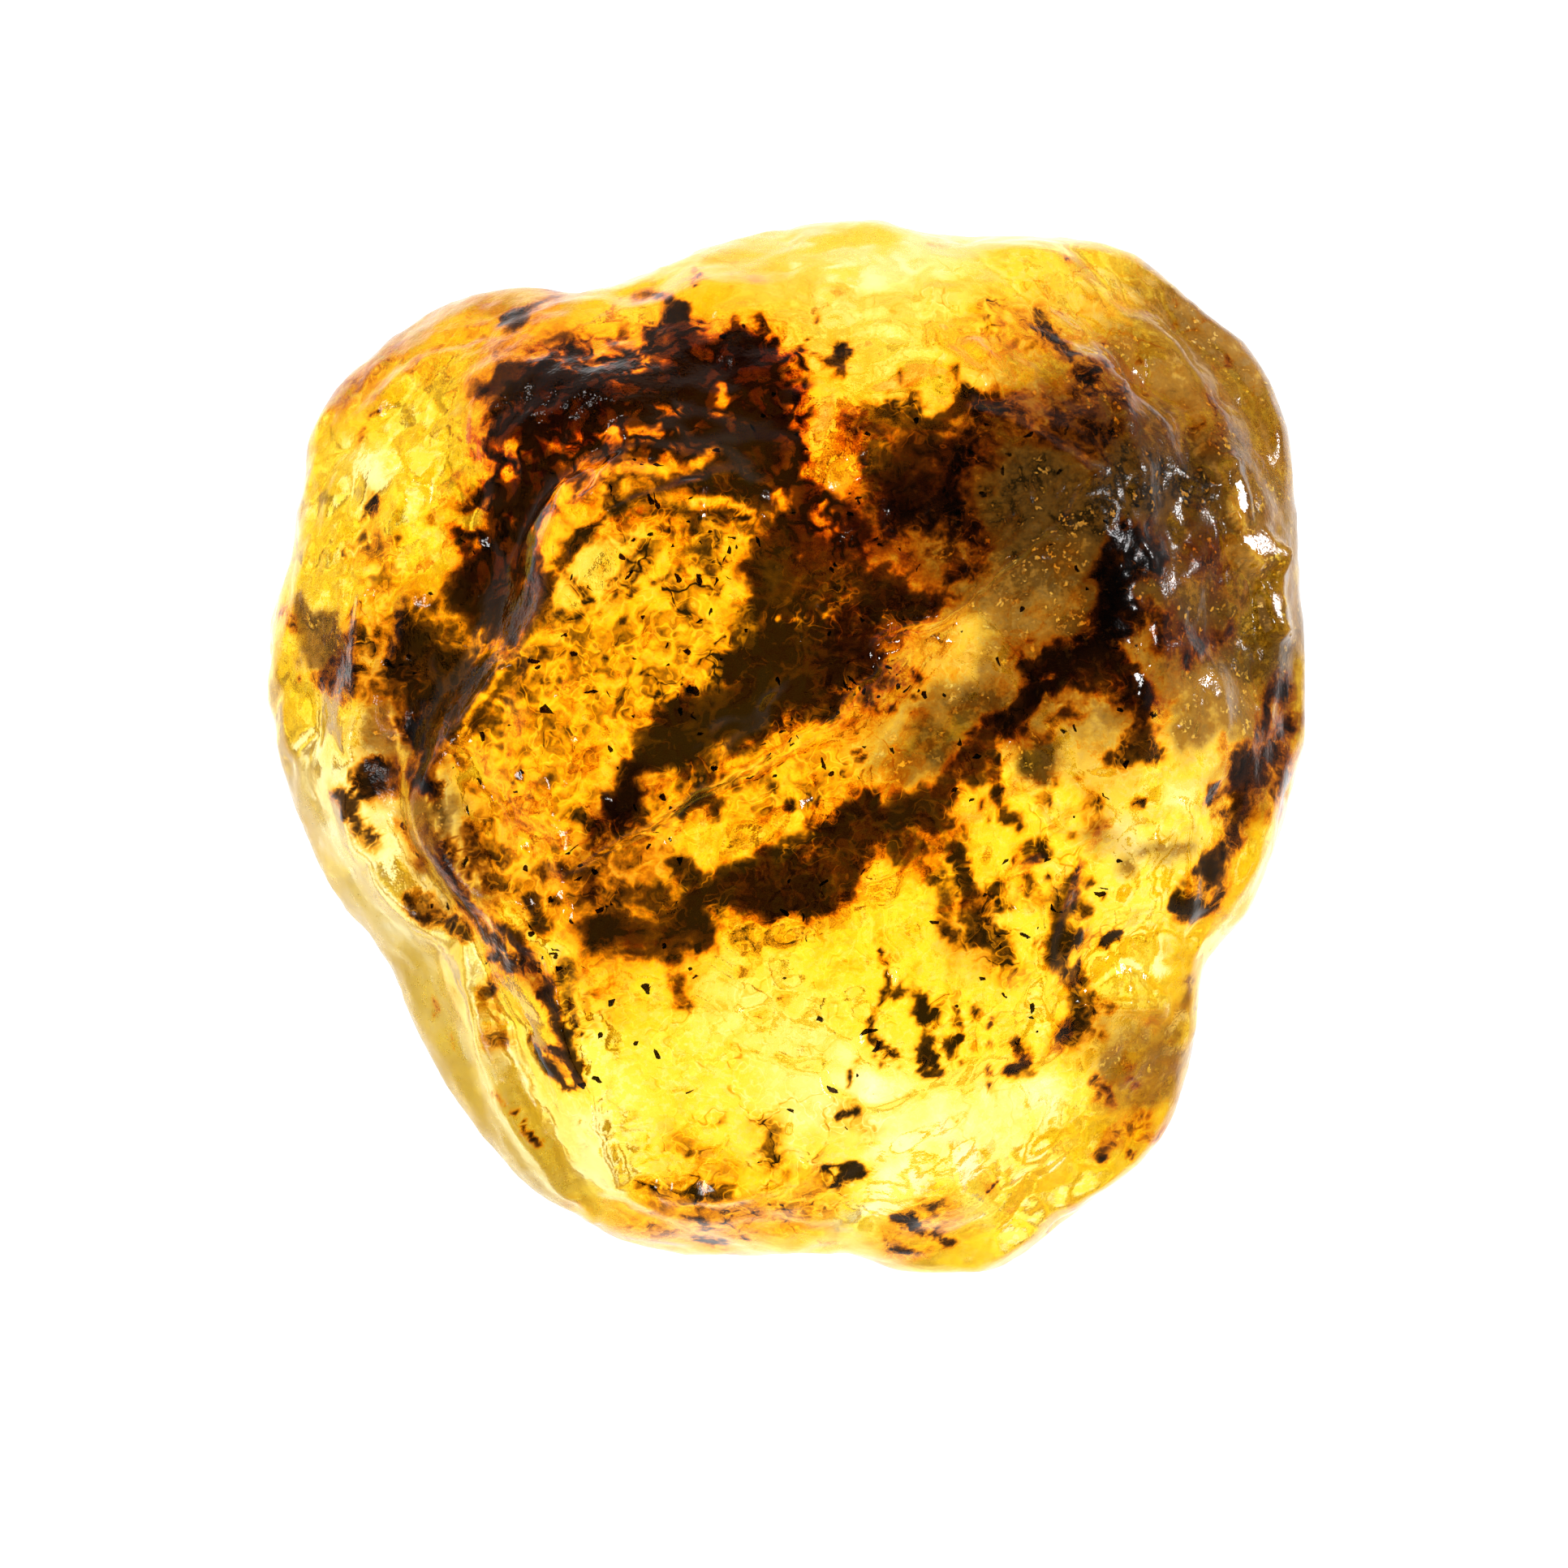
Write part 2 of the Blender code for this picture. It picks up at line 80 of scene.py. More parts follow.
# Rows of marks on the top: strength, width and softness, then the x and y of each point, in mm.
# A negative strength clears what the rows before it have put down.
BURNT_WASHES: tuple[Row, ...] = (
    (0.10, 9.0, 3.0, -15, 14, -16, 8, -16, 2, -13, -4),
    (0.13, 8.0, 3.0, -9, -13, -5, -15, 0, -15.6, 4, -13.6),
    (0.50, 2.4, 0.8, -9.8, 12.4, -7.2, 12.6, -4.6, 11.6), (0.25, 3.0, 1.2, -21, 17, -18.4, 18),
    (0.20, 2.0, 0.8, -10.6, 19.4), (0.40, 2.0, 0.6, 4.2, 15.4, 4.0, 13),
    (0.14, 4.0, 1.5, 10.6, 21.4, 13.6, 21.6), (0.50, 1.8, 0.7, -8.6, 13.6),
    (0.50, 1.8, 0.7, -4.4, 11.4), (0.30, 3.0, 1.2, -8, 9.4, -5, 9.6, -2.4, 10.6),
    (0.22, 5.0, 2.0, -7, 5, -5, 5.6), (0.32, 2.0, 0.8, -14.6, 5.0, -14.6, 3.4),
    (0.35, 2.4, 0.8, -20.6, 3.8, -19, 3.6), (0.30, 2.4, 1.0, -14.4, -0.6),
    (0.36, 3.0, 1.0, -15, -4.6, -14.2, -7.4), (0.26, 2.4, 0.9, -2.4, -1.0, -2, -2.6),
    (0.45, 1.8, 0.6, 1.8, -2.8), (0.50, 1.4, 0.5, 5.6, -5.2), (0.30, 1.6, 0.6, 5.6, -0.8),
    (0.25, 1.6, 0.6, -8.2, -12.6), (0.22, 2.0, 0.8, -2, -18.8),
    (0.25, 2.4, 0.8, -6, -22.4, -3.6, -22.8), (0.26, 2.6, 1.0, -10.4, 5.2),
    (0.12, 8.0, 3.0, -8, 4, -5, 3), (0.16, 6.0, 2.0, -12, -3, -10, -6), (0.24, 1.8, 0.8, 2.0, 1.4),
    (0.22, 3.2, 1.2, -7, -4.6, -4.4, -3.8, -2.4, -2.4), (0.26, 3.2, 1.0, -10.4, -6.8, -8, -6.8),
    (0.30, 2.8, 0.9, -8.6, -10.8, -5, -10.8), (0.30, 1.2, 0.5, -14.4, 15),
    (0.08, 6.0, 2.0, -6, -19, 0, -20),
    (0.30, 3.0, 1.2, -21.8, 15.4, -20.3, 17.8, -18, 19.4, -15.5, 20.4, -13, 20.8),
    (0.20, 2.6, 1.0, -17.5, 18.0, -14.5, 19.2, -11, 19.8),
    (0.30, 3.4, 1.2, -13, 18.6, -9.5, 19.3, -7, 20.8),
    (0.55, 4.2, 1.1, -12.9, 15.7, -10, 16.4, -6, 17.2, -2.5, 18, -0.5, 16.5),
    (0.45, 3.0, 0.9, -13.2, 13.5, -12.9, 11, -13, 8.5), (0.66, 2.8, 1.0, -12, 13.4, -8, 14.4, -4, 15),
    (0.32, 4.0, 1.3, -18.6, 6.6, -15.5, 5.8), (0.34, 3.2, 1.2, -19.6, 9, -18.4, 7.6),
    (0.34, 3.0, 1.0, -18.6, 4.2, -18.4, 1.6), (0.42, 2.4, 0.8, -14.6, 3.0, -15.2, 0.6),
    (0.22, 8.0, 3.0, -7, 7, -6, 4), (0.40, 3.6, 0.9, -9.4, 11.2, -6.8, 11.8, -3.6, 10.9, -2, 9.4),
    (0.26, 3.0, 1.0, -4.6, -1.6, -2, -1.8, 1.4, -1.6), (0.32, 3.0, 0.9, 1.4, 2.2, 4.4, 2.6),
    (0.34, 5.0, 1.8, -12.5, 4.4, -10, 1.2), (0.26, 5.0, 1.8, -8.5, 2, -5.5, 3.6),
    (0.30, 4.6, 1.3, -14, 1, -13.5, -2, -12, -4), (0.36, 3.6, 1.2, -9.5, -3.5, -10.5, -6),
    (0.36, 2.2, 0.9, -9.2, -9.6, -9.6, -12.4), (0.45, 1.8, 0.7, -7.8, -3.8, -5, -2.4, -3, -1.4),
    (0.38, 2.8, 0.9, -8.4, -6.2, -6.4, -5.4), (0.12, 2.6, 0.3, -12.2, -14.8, -11.7, -17, -11, -18.8),
    (0.62, 1.5, 0.5, -8.6, -9.4, -6, -9.8, -4.8, -9.6), (0.60, 1.1, 0.4, -3, -7.6, -1, -7.9),
    (0.42, 2.4, 0.8, -5.6, -18.4, -4.4, -19.4, -3.2, -20.4), (0.46, 1.5, 0.5, -1, -18, -0.8, -19.4),
    (0.36, 2.2, 0.8, -6.4, -21.9, -2, -22.3, 1, -22.2), (0.34, 1.3, 0.4, -10.2, -21.8, -8, -22.6),
    (0.26, 3.4, 1.0, 0.4, -1.4, 3.4, -0.8), (0.18, 3.0, 1.2, 0.6, -10.8, 2, -11.6),
    (0.26, 2.4, 0.25, 7.9, 21.2, 8.3, 19.2), (0.32, 2.8, 0.4, 9.4, 20.6, 10.8, 19.6),
    (0.30, 6.0, 2.0, 12.5, 19, 16.5, 18.6), (0.26, 3.0, 1.0, 13.4, 16.4, 15.6, 16.2),
    (0.34, 1.8, 0.6, 9.9, 6.6, 10.3, 4.6), (0.38, 2.2, 0.6, 7.6, 4.2, 6.6, 2.0),
    (0.30, 2.4, 0.7, 12.8, 9.4, 13.4, 7.0), (0.20, 4.0, 1.4, 19.6, 14.6, 19.0, 11),
    (0.75, 1.7, 0.5, 0.2, 18, 0.3, 14, 0.4, 11.5), (0.75, 1.6, 0.5, 3.4, 15, 3.9, 13.4),
    (0.62, 3.0, 0.8, 2, 11.4, 1.4, 9.6), (0.46, 3.2, 0.9, 4.2, 9.4, 8, 8.8),
    (0.74, 3.2, 0.9, -1, 12.6, -0.8, 10.6, -0.4, 9.2), (0.14, 4.2, 1.2, 18.6, 7.6, 17.6, 5.4),
    (0.12, 3.0, 1.0, 22, 15.5, 22.4, 12, 22.2, 8.6), (0.20, 2.6, 1.0, 20.4, 16.6, 19, 15),
    (0.34, 3.0, 0.8, 12, 2.4, 14.8, 2.0), (0.62, 1.7, 0.5, 7.6, -4.2, 5, -5),
    (0.24, 3.2, 1.0, 6.2, -6.2, 8, -9), (0.42, 1.5, 0.3, 9.4, -10.6, 10.2, -11.2, 10.5, -10.4),
    (0.36, 1.3, 0.3, 7.8, -10.8, 7.6, -12), (0.20, 5.5, 1.4, 13.8, -2.4, 12.8, -4.6),
    (0.30, 2.6, 0.6, 13.4, -7.6, 13, -10.5, 14, -12.8), (0.42, 1.6, 0.5, 12.6, -14.4, 13.4, -14.8),
    (0.26, 4.2, 0.9, 16.2, -14.2, 17, -16.4), (0.52, 1.3, 0.4, 15.4, -18.8, 16.8, -18),
    (0.30, 2.8, 0.8, 1.2, -20.4, 2.4, -19.6), (0.30, 1.4, 0.4, 2.8, -17.2, 3.6, -17.6),
    (0.50, 2.6, 0.6, 5.4, -23.2, 7.8, -22.9), (0.40, 1.4, 0.4, 7.2, -21.6, 9.8, -20.4),
    (0.42, 1.4, 0.4, 19.8, -8, 20.4, -6), (0.36, 2.2, 0.7, 21.4, -4.6, 22.6, -3),
)
BURNT_MARKS: tuple[Row, ...] = (
    # north-west: the black crust and its web
    (1.0, 2.3, 0.4, -12.8, 16.9, -11.5, 16.7, -9.5, 17.2), (1.0, 2.1, 0.4, -13.0, 15, -11.8, 14.6),
    (1.0, 1.8, 0.4, -11, 15.6, -8.5, 16, -6.5, 16.2), (0.95, 0.9, 0.3, -13.4, 18, -13.9, 15.6),
    (0.9, 0.8, 0.3, -8.8, 17.6, -7.4, 18.4, -6.4, 18.2), (0.9, 0.5, 0.2, -0.8, 19.6, -1.4, 20.4),
    (1.0, 2.2, 0.4, -6.5, 17.2, -4.5, 17.3, -2.8, 17.8),
    (0.97, 1.6, 0.4, -5.8, 19.2, -4.2, 18.9, -2.4, 19.2, -0.8, 18.2),
    (0.92, 1.0, 0.3, -5.6, 20.8, -5.2, 19.6), (0.9, 0.7, 0.3, -2.6, 19.8, -1.6, 19.2),
    (1.0, 2.9, 0.5, -2, 17, -1.6, 15.5, -1.6, 14, -2.4, 13.4),
    (0.97, 1.3, 0.35, -1, 17.5, -0.3, 16.5, -0.6, 15),
    (0.92, 0.7, 0.25, -5.2, 12.9, -3.4, 13.1, -1.6, 12.9), (0.95, 1.4, 0.4, -4.8, 16.2, -3.6, 15.1),
    (0.9, 1.2, 0.35, -4.8, 13.8, -3, 14.1), (0.85, 0.7, 0.25, -9.4, 14.8, -8.2, 15.6),
    (0.85, 0.45, 0.2, -11.5, 13.6, -8.5, 13.9, -5.5, 14.4, -3, 14.8),
    (0.85, 0.45, 0.2, -10.5, 15.0, -7.5, 15.3, -5, 15.2), (0.8, 0.35, 0.15, -12.4, 13.2, -9.8, 12.9),
    (0.86, 1.2, 0.35, -14.2, 13.8, -13.8, 12.4, -13.2, 11.4),
    (0.92, 0.55, 0.2, -16.8, 10.9, -15.8, 11.6, -14.6, 11.9),
    (0.92, 0.5, 0.2, -16.8, 10.6, -15.5, 10.4, -14, 10.2), (0.9, 0.6, 0.25, -15.9, 13.1, -14.8, 12.3),
    (0.95, 1.2, 0.35, -13.6, 11.2, -12.9, 12.0, -12.3, 11.4, -11.8, 12.8),
    (0.92, 0.8, 0.3, -12, 10.6, -11.6, 11.8), (1.0, 3.4, 0.45, -13.8, 8.8),
    (1.0, 2.5, 0.4, -14.9, 7.9, -13.2, 7.2), (1.0, 1.8, 0.4, -13.2, 6.4, -12.9, 5.4),
    (0.97, 1.4, 0.35, -13.6, 9.9, -12.3, 9.9), (0.92, 1.0, 0.3, -16, 9.8, -14.8, 9.6),
    (0.88, 0.8, 0.3, -12.2, 8.8, -11.6, 7.6, -11.9, 6.6),
    # the arch and the belly under it
    (0.85, 0.5, 0.2, -11, 8.4, -10.3, 9.5, -9.4, 10.3, -8.2, 11.1, -7, 11.9, -5.6, 12.5, -4, 12.6),
    (0.75, 0.35, 0.15, -6.5, 11.1, -4.5, 11.4, -2.8, 11.0, -1.9, 10.4),
    (0.8, 0.7, 0.25, -4.5, 12.1, -2.5, 12.3, -1.2, 11.8), (0.5, 0.2, 0.1, -8, 12.6, -8.2, 11),
    (0.62, 0.24, 0.1, -7.3, 9.4, -7.3, 7), (0.55, 0.2, 0.1, -8.2, 7.2, -5.8, 8, -4, 8.7, -2.2, 8.9),
    (0.5, 0.2, 0.1, -8.6, 7.6, -6.8, 9.4), (0.5, 0.2, 0.1, -5, 9.2, -3, 9.8, -1.6, 9.6),
    (0.85, 0.4, 0.12, -7.7, 5.8), (0.6, 0.4, 0.2, -10.9, 8.2, -9.6, 7.4, -9.2, 6.4),
    (0.62, 0.5, 0.2, -12.4, 5.6, -11, 6.2, -9.6, 6.4),
    (0.62, 0.5, 0.2, -14.6, 1.4, -13.2, 3.2, -11.6, 4.4),
    (0.5, 0.4, 0.2, -13.6, 1.6, -12.2, 3.0, -10.6, 3.4),
    # west: the smudge, the rim and its small marks
    (1.0, 2.8, 0.8, -16.8, 4.4, -16.4, 3), (1.0, 2.4, 0.6, -16, 2.6, -16.8, 1.2, -17.2, -0.5),
    (0.7, 1.8, 0.5, -17, 4.4, -16.2, 1.2, -16, -0.2), (0.6, 1.4, 0.45, -20.8, 3.6, -19.6, 2.6),
    (0.8, 1.6, 0.6, -18.2, 5.2, -17.2, 5.6), (0.75, 0.7, 0.2, -19.9, 11.1, -19.3, 11.4),
    (0.45, 0.9, 0.25, -19.6, 11.7), (0.5, 1.6, 0.5, -19.6, 9.6), (0.7, 0.5, 0.2, -20, 10.1),
    (0.62, 0.6, 0.2, -18.3, 9.8), (0.62, 0.35, 0.12, -21, 9.1), (0.4, 0.3, 0.1, -22.2, 8.7),
    (0.5, 0.3, 0.12, -20.3, 14.2, -20.0, 15), (0.5, 0.35, 0.12, -19.8, 15.6, -19.3, 15.9),
    (0.6, 0.7, 0.25, -16.7, 6.9), (0.6, 0.5, 0.2, -15.5, 5.5), (0.6, 0.5, 0.2, -14.7, 5.6),
    (0.55, 0.5, 0.2, -19.5, 5.3), (0.75, 0.9, 0.35, -23.5, 6.1, -23.3, 5.5),
    (0.75, 0.8, 0.3, -20.6, 5.7, -20.3, 5.2), (0.55, 0.4, 0.15, -22.9, 3.3),
    (0.6, 0.9, 0.3, -21.8, 3.2, -20.9, 2.4), (0.45, 1.2, 0.3, -14.8, 16.6),
    (0.85, 0.7, 0.3, -13.3, 20.2, -12.3, 20.6), (0.6, 0.6, 0.3, -12, 21.0, -11, 21.3),
    (0.65, 0.4, 0.15, -4.5, 22.5, -4.3, 22), (0.5, 0.25, 0.1, -2.8, 21.7),
    (0.6, 0.3, 0.12, -10.6, 18.6, -10.2, 18.2), (0.6, 0.35, 0.12, -9.6, 19.8, -9.4, 19.4),
    (0.6, 0.4, 0.15, -8.6, 19.2, -7.6, 18.8), (0.6, 0.35, 0.12, -7.7, 20.2, -7.6, 19.6),
    (0.62, 0.5, 0.2, -6.8, 19, -6.5, 18.6), (0.7, 0.6, 0.25, -7.2, 21.2, -6.2, 21.4),
    # the black mass over the fold
    (1.0, 4.0, 0.7, -1, 8, 0.8, 8), (1.0, 4.2, 0.7, 0, 5, 1.5, 3.8),
    (1.0, 3.4, 0.7, -0.8, 3.2, -2, 2.2), (0.97, 2.6, 0.6, 3.4, 7.2, 5.4, 6.8),
    (0.97, 2.4, 0.6, 3.2, 5, 2, 4), (1.0, 2.2, 0.5, -5.5, 1, -3, 1.5, -0.5, 2.4),
    (1.0, 1.8, 0.5, -6.6, 0, -5, 1.4), (1.0, 1.2, 0.3, -7.4, -1.0, -6.3, -0.6, -5, -0.2),
    (1.0, 1.7, 0.35, -5.2, -0.6, -3.4, 0.6, -2, 1.2), (1.0, 1.5, 0.35, -7.6, -2, -7.2, -2.8),
    (0.85, 0.7, 0.25, -8.2, -3.4, -9.4, -4.2), (0.80, 1.0, 0.3, -7.6, -7.3, -6, -7.0),
    (0.85, 0.8, 0.25, -6.6, -8.4), (0.6, 1.0, 0.3, 6.4, -4.8), (0.88, 0.8, 0.3, -10, -5, -11, -5.8),
    (0.85, 1.0, 0.35, 6, 6.6, 7.8, 7.4, 9, 8.4),
    # north-east: the dark mass
    (0.96, 4.0, 0.9, 5.6, 14.2, 5.8, 12.2), (0.94, 3.0, 0.9, 7.8, 13.6, 8.0, 11.2),
    (0.72, 2.6, 0.9, 9.0, 15.0, 12.8, 15.0, 14.5, 14.0), (0.62, 1.4, 0.6, 9.0, 16.5, 11.2, 16.4),
    (0.97, 1.4, 0.3, 3.9, 15.6, 5.5, 15.9), (0.97, 1.4, 0.3, 6.5, 15.5, 8.4, 16.4),
    (0.75, 0.5, 0.2, 7.7, 17.8, 8.4, 16.9), (0.75, 0.6, 0.25, 5.2, 17.6, 5.8, 16.9),
    (0.9, 0.5, 0.2, 4.6, 16.9, 4.9, 16.2), (0.92, 0.8, 0.2, 0.3, 18.8, 1.0, 18.7),
    (0.92, 0.9, 0.2, 1.8, 18.6, 2.9, 18.8), (0.88, 0.7, 0.2, 2.8, 18.2, 2.4, 17.6),
    (0.6, 0.4, 0.15, 1.4, 20.4), (0.5, 0.3, 0.1, 1.2, 19.4), (0.85, 1.3, 0.4, 1.2, 12, 1.2, 10.8),
    (0.88, 1.4, 0.4, 2.6, 11.4, 3.4, 10.2), (0.88, 1.2, 0.4, 0.6, 10, 2.6, 9.2),
    (0.6, 0.8, 0.3, 12.6, 19.5, 13.6, 18.6, 14.4, 17.6), (0.5, 1.0, 0.3, 12.2, 20.2, 12.0, 19.8),
    (0.45, 0.35, 0.12, 13.2, 23), (0.5, 0.35, 0.12, 18.3, 21.1), (0.5, 0.35, 0.12, 18.5, 19.8),
    (0.55, 0.5, 0.15, 20.8, 18.3), (0.45, 0.4, 0.2, 7.0, 23.9, 7.8, 23.7),
    # the diagonal band
    (1.0, 1.8, 0.45, 16, 9.5, 15.8, 8, 15.2, 6.5, 14.6, 5), (0.95, 1.6, 0.4, 17.4, 9.6, 17.2, 8.6),
    (1.0, 1.9, 0.4, 14.9, 4.0, 13.4, 3.6, 12.2, 3.8),
    (1.0, 1.8, 0.35, 12.2, 3.4, 11.2, 2.3, 10.3, 1.2, 9.2, 0.2), (1.0, 1.5, 0.35, 8.2, -0.6, 9.4, -0.4),
    (1.0, 1.7, 0.4, 7.6, -1.6, 7.0, -3), (0.7, 0.9, 0.3, 11, 0.6, 12.4, 0.4, 12.8, 1.6),
    (0.7, 0.8, 0.25, 14.2, 1.2, 15.4, 2.6), (0.75, 1.0, 0.3, 15.6, 5.2, 15.8, 3.6),
    (0.92, 1.2, 0.35, 9.3, -1.2, 8.6, -1.7), (1.0, 2.2, 0.45, 6.6, -2.6, 5, -3.2, 4.0, -3.8),
    (1.0, 2.6, 0.45, 3.4, -4.2, 2, -5, 0.4, -5.6), (1.0, 2.5, 0.4, 2.0, -6.1, 0.6, -6.5),
    (1.0, 1.7, 0.4, -14.5, 7.2, -13.8, 6.6), (0.97, 1.8, 0.4, 1.6, 7.4), (0.97, 1.4, 0.4, -0.4, 7.0),
    (1.0, 2.0, 0.4, 1.6, -6.7, -0.8, -6.7), (1.0, 1.6, 0.4, 0, -4.9, -2, -6.4),
    (1.0, 1.6, 0.4, 3.6, -3.0, 2.4, -4.2), (0.92, 1.0, 0.3, -5.4, 0.2, -4.2, -0.3),
    (0.85, 0.9, 0.3, 7.8, -8.8), (0.7, 1.0, 0.3, 10, -6.9), (0.95, 1.7, 0.4, -18.2, 3.0, -16.6, 3.0),
    (0.7, 1.4, 0.4, 3.8, 5.6, 4.6, 4.2), (0.75, 1.6, 0.4, 4.0, 3.0), (0.5, 1.4, 0.4, 5.6, 5.2),
    (1.0, 1.8, 0.4, -1.2, -7.2, 1.2, -6.9), (0.95, 1.4, 0.4, -7, -8.9, -5.2, -8.9),
    (1.0, 1.9, 0.4, 1.2, -5.6, 2.6, -4.8), (1.0, 1.8, 0.4, -14.2, 7.4), (0.6, 1.6, 0.5, -8, 13.2),
    (0.7, 1.4, 0.4, -12.2, 9.0), (0.5, 1.4, 0.4, -6, -7.2), (1.0, 2.2, 0.45, -0.5, -6, -2.4, -6.3),
    (1.0, 1.9, 0.4, -4.7, -6, -4.4, -7.5, -4.2, -8.4), (1.0, 1.2, 0.35, -3.4, -6.6, -2.6, -6.6),
    (1.0, 1.3, 0.35, -5.6, -8.2, -8, -8.6, -9, -8.9), (1.0, 1.1, 0.3, -4, -8.8, -3.7, -9.6),
    (0.85, 0.7, 0.25, -7.4, -9.6, -5.4, -9.9), (0.78, 0.9, 0.25, -5.2, -11.3, -5.1, -11.8),
    (0.62, 0.5, 0.2, -5.6, -11), (0.97, 1.6, 0.4, 16.4, 2.6, 17.2, 1.6, 16.9, 0),
    (0.92, 1.1, 0.35, 15, 3.6, 16.8, 3.6), (0.88, 1.0, 0.35, 12.6, 2.8, 14.8, 2.6),
    (0.85, 1.0, 0.35, 13.6, 1.4, 12, 0.4), (0.85, 0.8, 0.3, 15.6, -0.6, 17.6, -0.6),
    (0.88, 0.6, 0.2, 5.2, 2.9), (0.88, 0.5, 0.2, 6.1, 2.5), (0.82, 0.5, 0.2, 6.3, 3.4),
    (0.82, 0.5, 0.2, 4.9, 1.8), (0.82, 0.6, 0.2, 5.8, 1.6), (0.75, 0.5, 0.2, 5.4, 3.6),
    (0.75, 0.4, 0.15, 4.2, 2.0), (0.85, 0.3, 0.12, 3.2, -0.2, 3.5, -0.5),
    # east
    (0.9, 2.0, 0.6, 23.2, 2.6, 22.8, 0.8, 22.3, -1),
    (0.88, 1.5, 0.4, 21.4, -0.4, 21.2, -2.4, 21.0, -3.9), (0.5, 0.8, 0.3, 23.2, -1.6, 22.7, -3.2),
    (0.7, 1.5, 0.5, 17.4, 5.6, 16.4, 6.2), (0.50, 2.0, 0.6, 19.4, 8.2, 20.6, 9.4),
    (0.7, 1.6, 0.5, 20.2, 5.2, 19, 4.6), (0.97, 1.2, 0.25, 20.1, -4.9, 19.7, -6),
    (0.97, 1.4, 0.25, 19.0, -7.2, 19.1, -8), (0.9, 0.6, 0.2, 20.1, -6.9, 19.6, -7.6),
    (0.92, 0.5, 0.15, 20.1, -2, 20.0, -2.6),
    # south-west: the wrinkled slope, the streak and the seed-like body
    (0.26, 2.4, 0.7, -18.4, 0.5, -17.6, -2.2, -16.6, -4.5, -15.4, -6.8),
    (0.92, 1.5, 0.35, -19.3, -1.2, -19.2, -1.9), (0.92, 1.6, 0.35, -17, -1.2, -17, -2),
    (0.92, 0.9, 0.3, -17.6, -7.2, -16.4, -8.2, -15.4, -9),
    (0.6, 0.6, 0.25, -16.2, -5, -15.4, -6.5, -14.8, -7.4), (0.6, 0.6, 0.25, -15.2, -3.5, -14.4, -5),
    (0.40, 1.5, 0.5, -15, -4.5, -13.8, -6.5, -12.8, -8),
    (0.45, 0.7, 0.3, -18.6, -3.6, -17.8, -4.6, -17.2, -5.8),
    (1.0, 0.9, 0.25, -15.2, -7.6, -14.2, -8.6, -13, -9.6),
    (1.0, 1.4, 0.25, -12.8, -9.6, -12, -10.6, -11.4, -11.6),
    (1.0, 0.7, 0.2, -11.3, -11.8, -10.8, -13, -10.4, -14.3),
    (0.97, 0.5, 0.15, -10.3, -14.4, -9.8, -15.4), (0.88, 1.0, 0.3, -12, -7.7, -11.5, -8.7),
    (0.7, 0.7, 0.25, -10.4, -10.4, -10.2, -12.2), (0.97, 0.8, 0.2, -21.4, -1.9, -20.4, -2.6),
    (0.92, 0.9, 0.2, -20.5, -3.3, -20.1, -3.8), (0.88, 0.45, 0.15, -20.5, -1.4, -20.3, -1.8),
    (0.5, 1.2, 0.35, -20, -4.3), (0.92, 0.7, 0.2, -14, -9.8, -13.4, -10.1),
    (0.82, 0.7, 0.2, -13.9, -11.8), (0.72, 0.9, 0.3, -13.8, -12.8, -13.9, -13.8),
    (0.45, 1.2, 0.4, -14.1, -10.8, -14.1, -14), (0.92, 0.35, 0.12, -10.2, -12.8, -9.8, -13.5),
    (0.88, 0.3, 0.1, -9.4, -13.9), (0.82, 0.3, 0.1, -12.4, -13.85, -12.1, -13.8),
    (0.92, 0.18, 0.08, -8.4, -11.3), (0.92, 0.18, 0.08, -8.9, -12.4), (0.5, 0.4, 0.15, -9.2, -11.7),
    (0.97, 0.45, 0.12, -11.8, -14.4, -11.2, -15.3, -10.6, -16),
    (0.97, 0.55, 0.12, -11, -14.4, -10.3, -15, -9.8, -15.8),
    (0.95, 0.35, 0.1, -10.6, -16.2, -10, -16.2), (0.55, 0.7, 0.2, -10.9, -15, -10.4, -15.8),
    (0.92, 0.4, 0.12, -13.2, -17.3, -12.4, -18, -11.6, -18.8),
    (0.7, 0.3, 0.12, -16.8, -12, -16.6, -12.5), (0.62, 0.25, 0.1, -15.8, -13.6, -15.7, -14.1),
    (0.5, 0.3, 0.12, -14.1, -16.3, -13.5, -17), (0.6, 0.6, 0.25, -13, -1.4),
    (0.55, 0.5, 0.2, -15.6, -0.8, -15.3, -1.2), (0.62, 0.7, 0.25, -14.4, -3.5),
    (0.5, 0.5, 0.2, -11.5, -1.6), (0.55, 0.5, 0.2, -14.9, -1.9), (0.6, 0.4, 0.15, -13.2, -2.4),
    (0.92, 0.5, 0.2, -10.6, -7.3), (0.88, 0.9, 0.25, -4.4, -2.7, -3.3, -3),
    (0.7, 0.4, 0.15, -4.9, -3.1), (0.62, 0.4, 0.15, -0.5, -1.9),
    (0.8, 0.3, 0.1, -8.4, -4.9, -8.1, -4.8), (0.62, 0.8, 0.3, -7.6, -6.9, -6.8, -7.0),
    # south
    (0.5, 0.45, 0.2, -7, -20.6, -4.5, -21.2, -2.5, -21.4), (0.78, 0.35, 0.12, -4.8, -22.3, -3.8, -22.5),
    (0.88, 0.45, 0.15, -4, -23.3, -2.8, -23.5), (0.5, 0.3, 0.1, -2, -23.2),
    (0.5, 0.3, 0.1, -7.1, -17, -7.2, -17.4), (0.45, 0.4, 0.2, -3.4, -17.7, -2.8, -17.6),
    (0.55, 0.5, 0.2, -4.7, -19.2), (0.92, 0.5, 0.12, 0.2, -2.9),
    (0.97, 0.5, 0.15, 4.4, -9.8, 4.5, -10.8, 4.4, -12, 4.1, -13, 3.9, -14),
    (0.95, 0.5, 0.15, 4.2, -13.9, 4.6, -14.6, 5, -14.8),
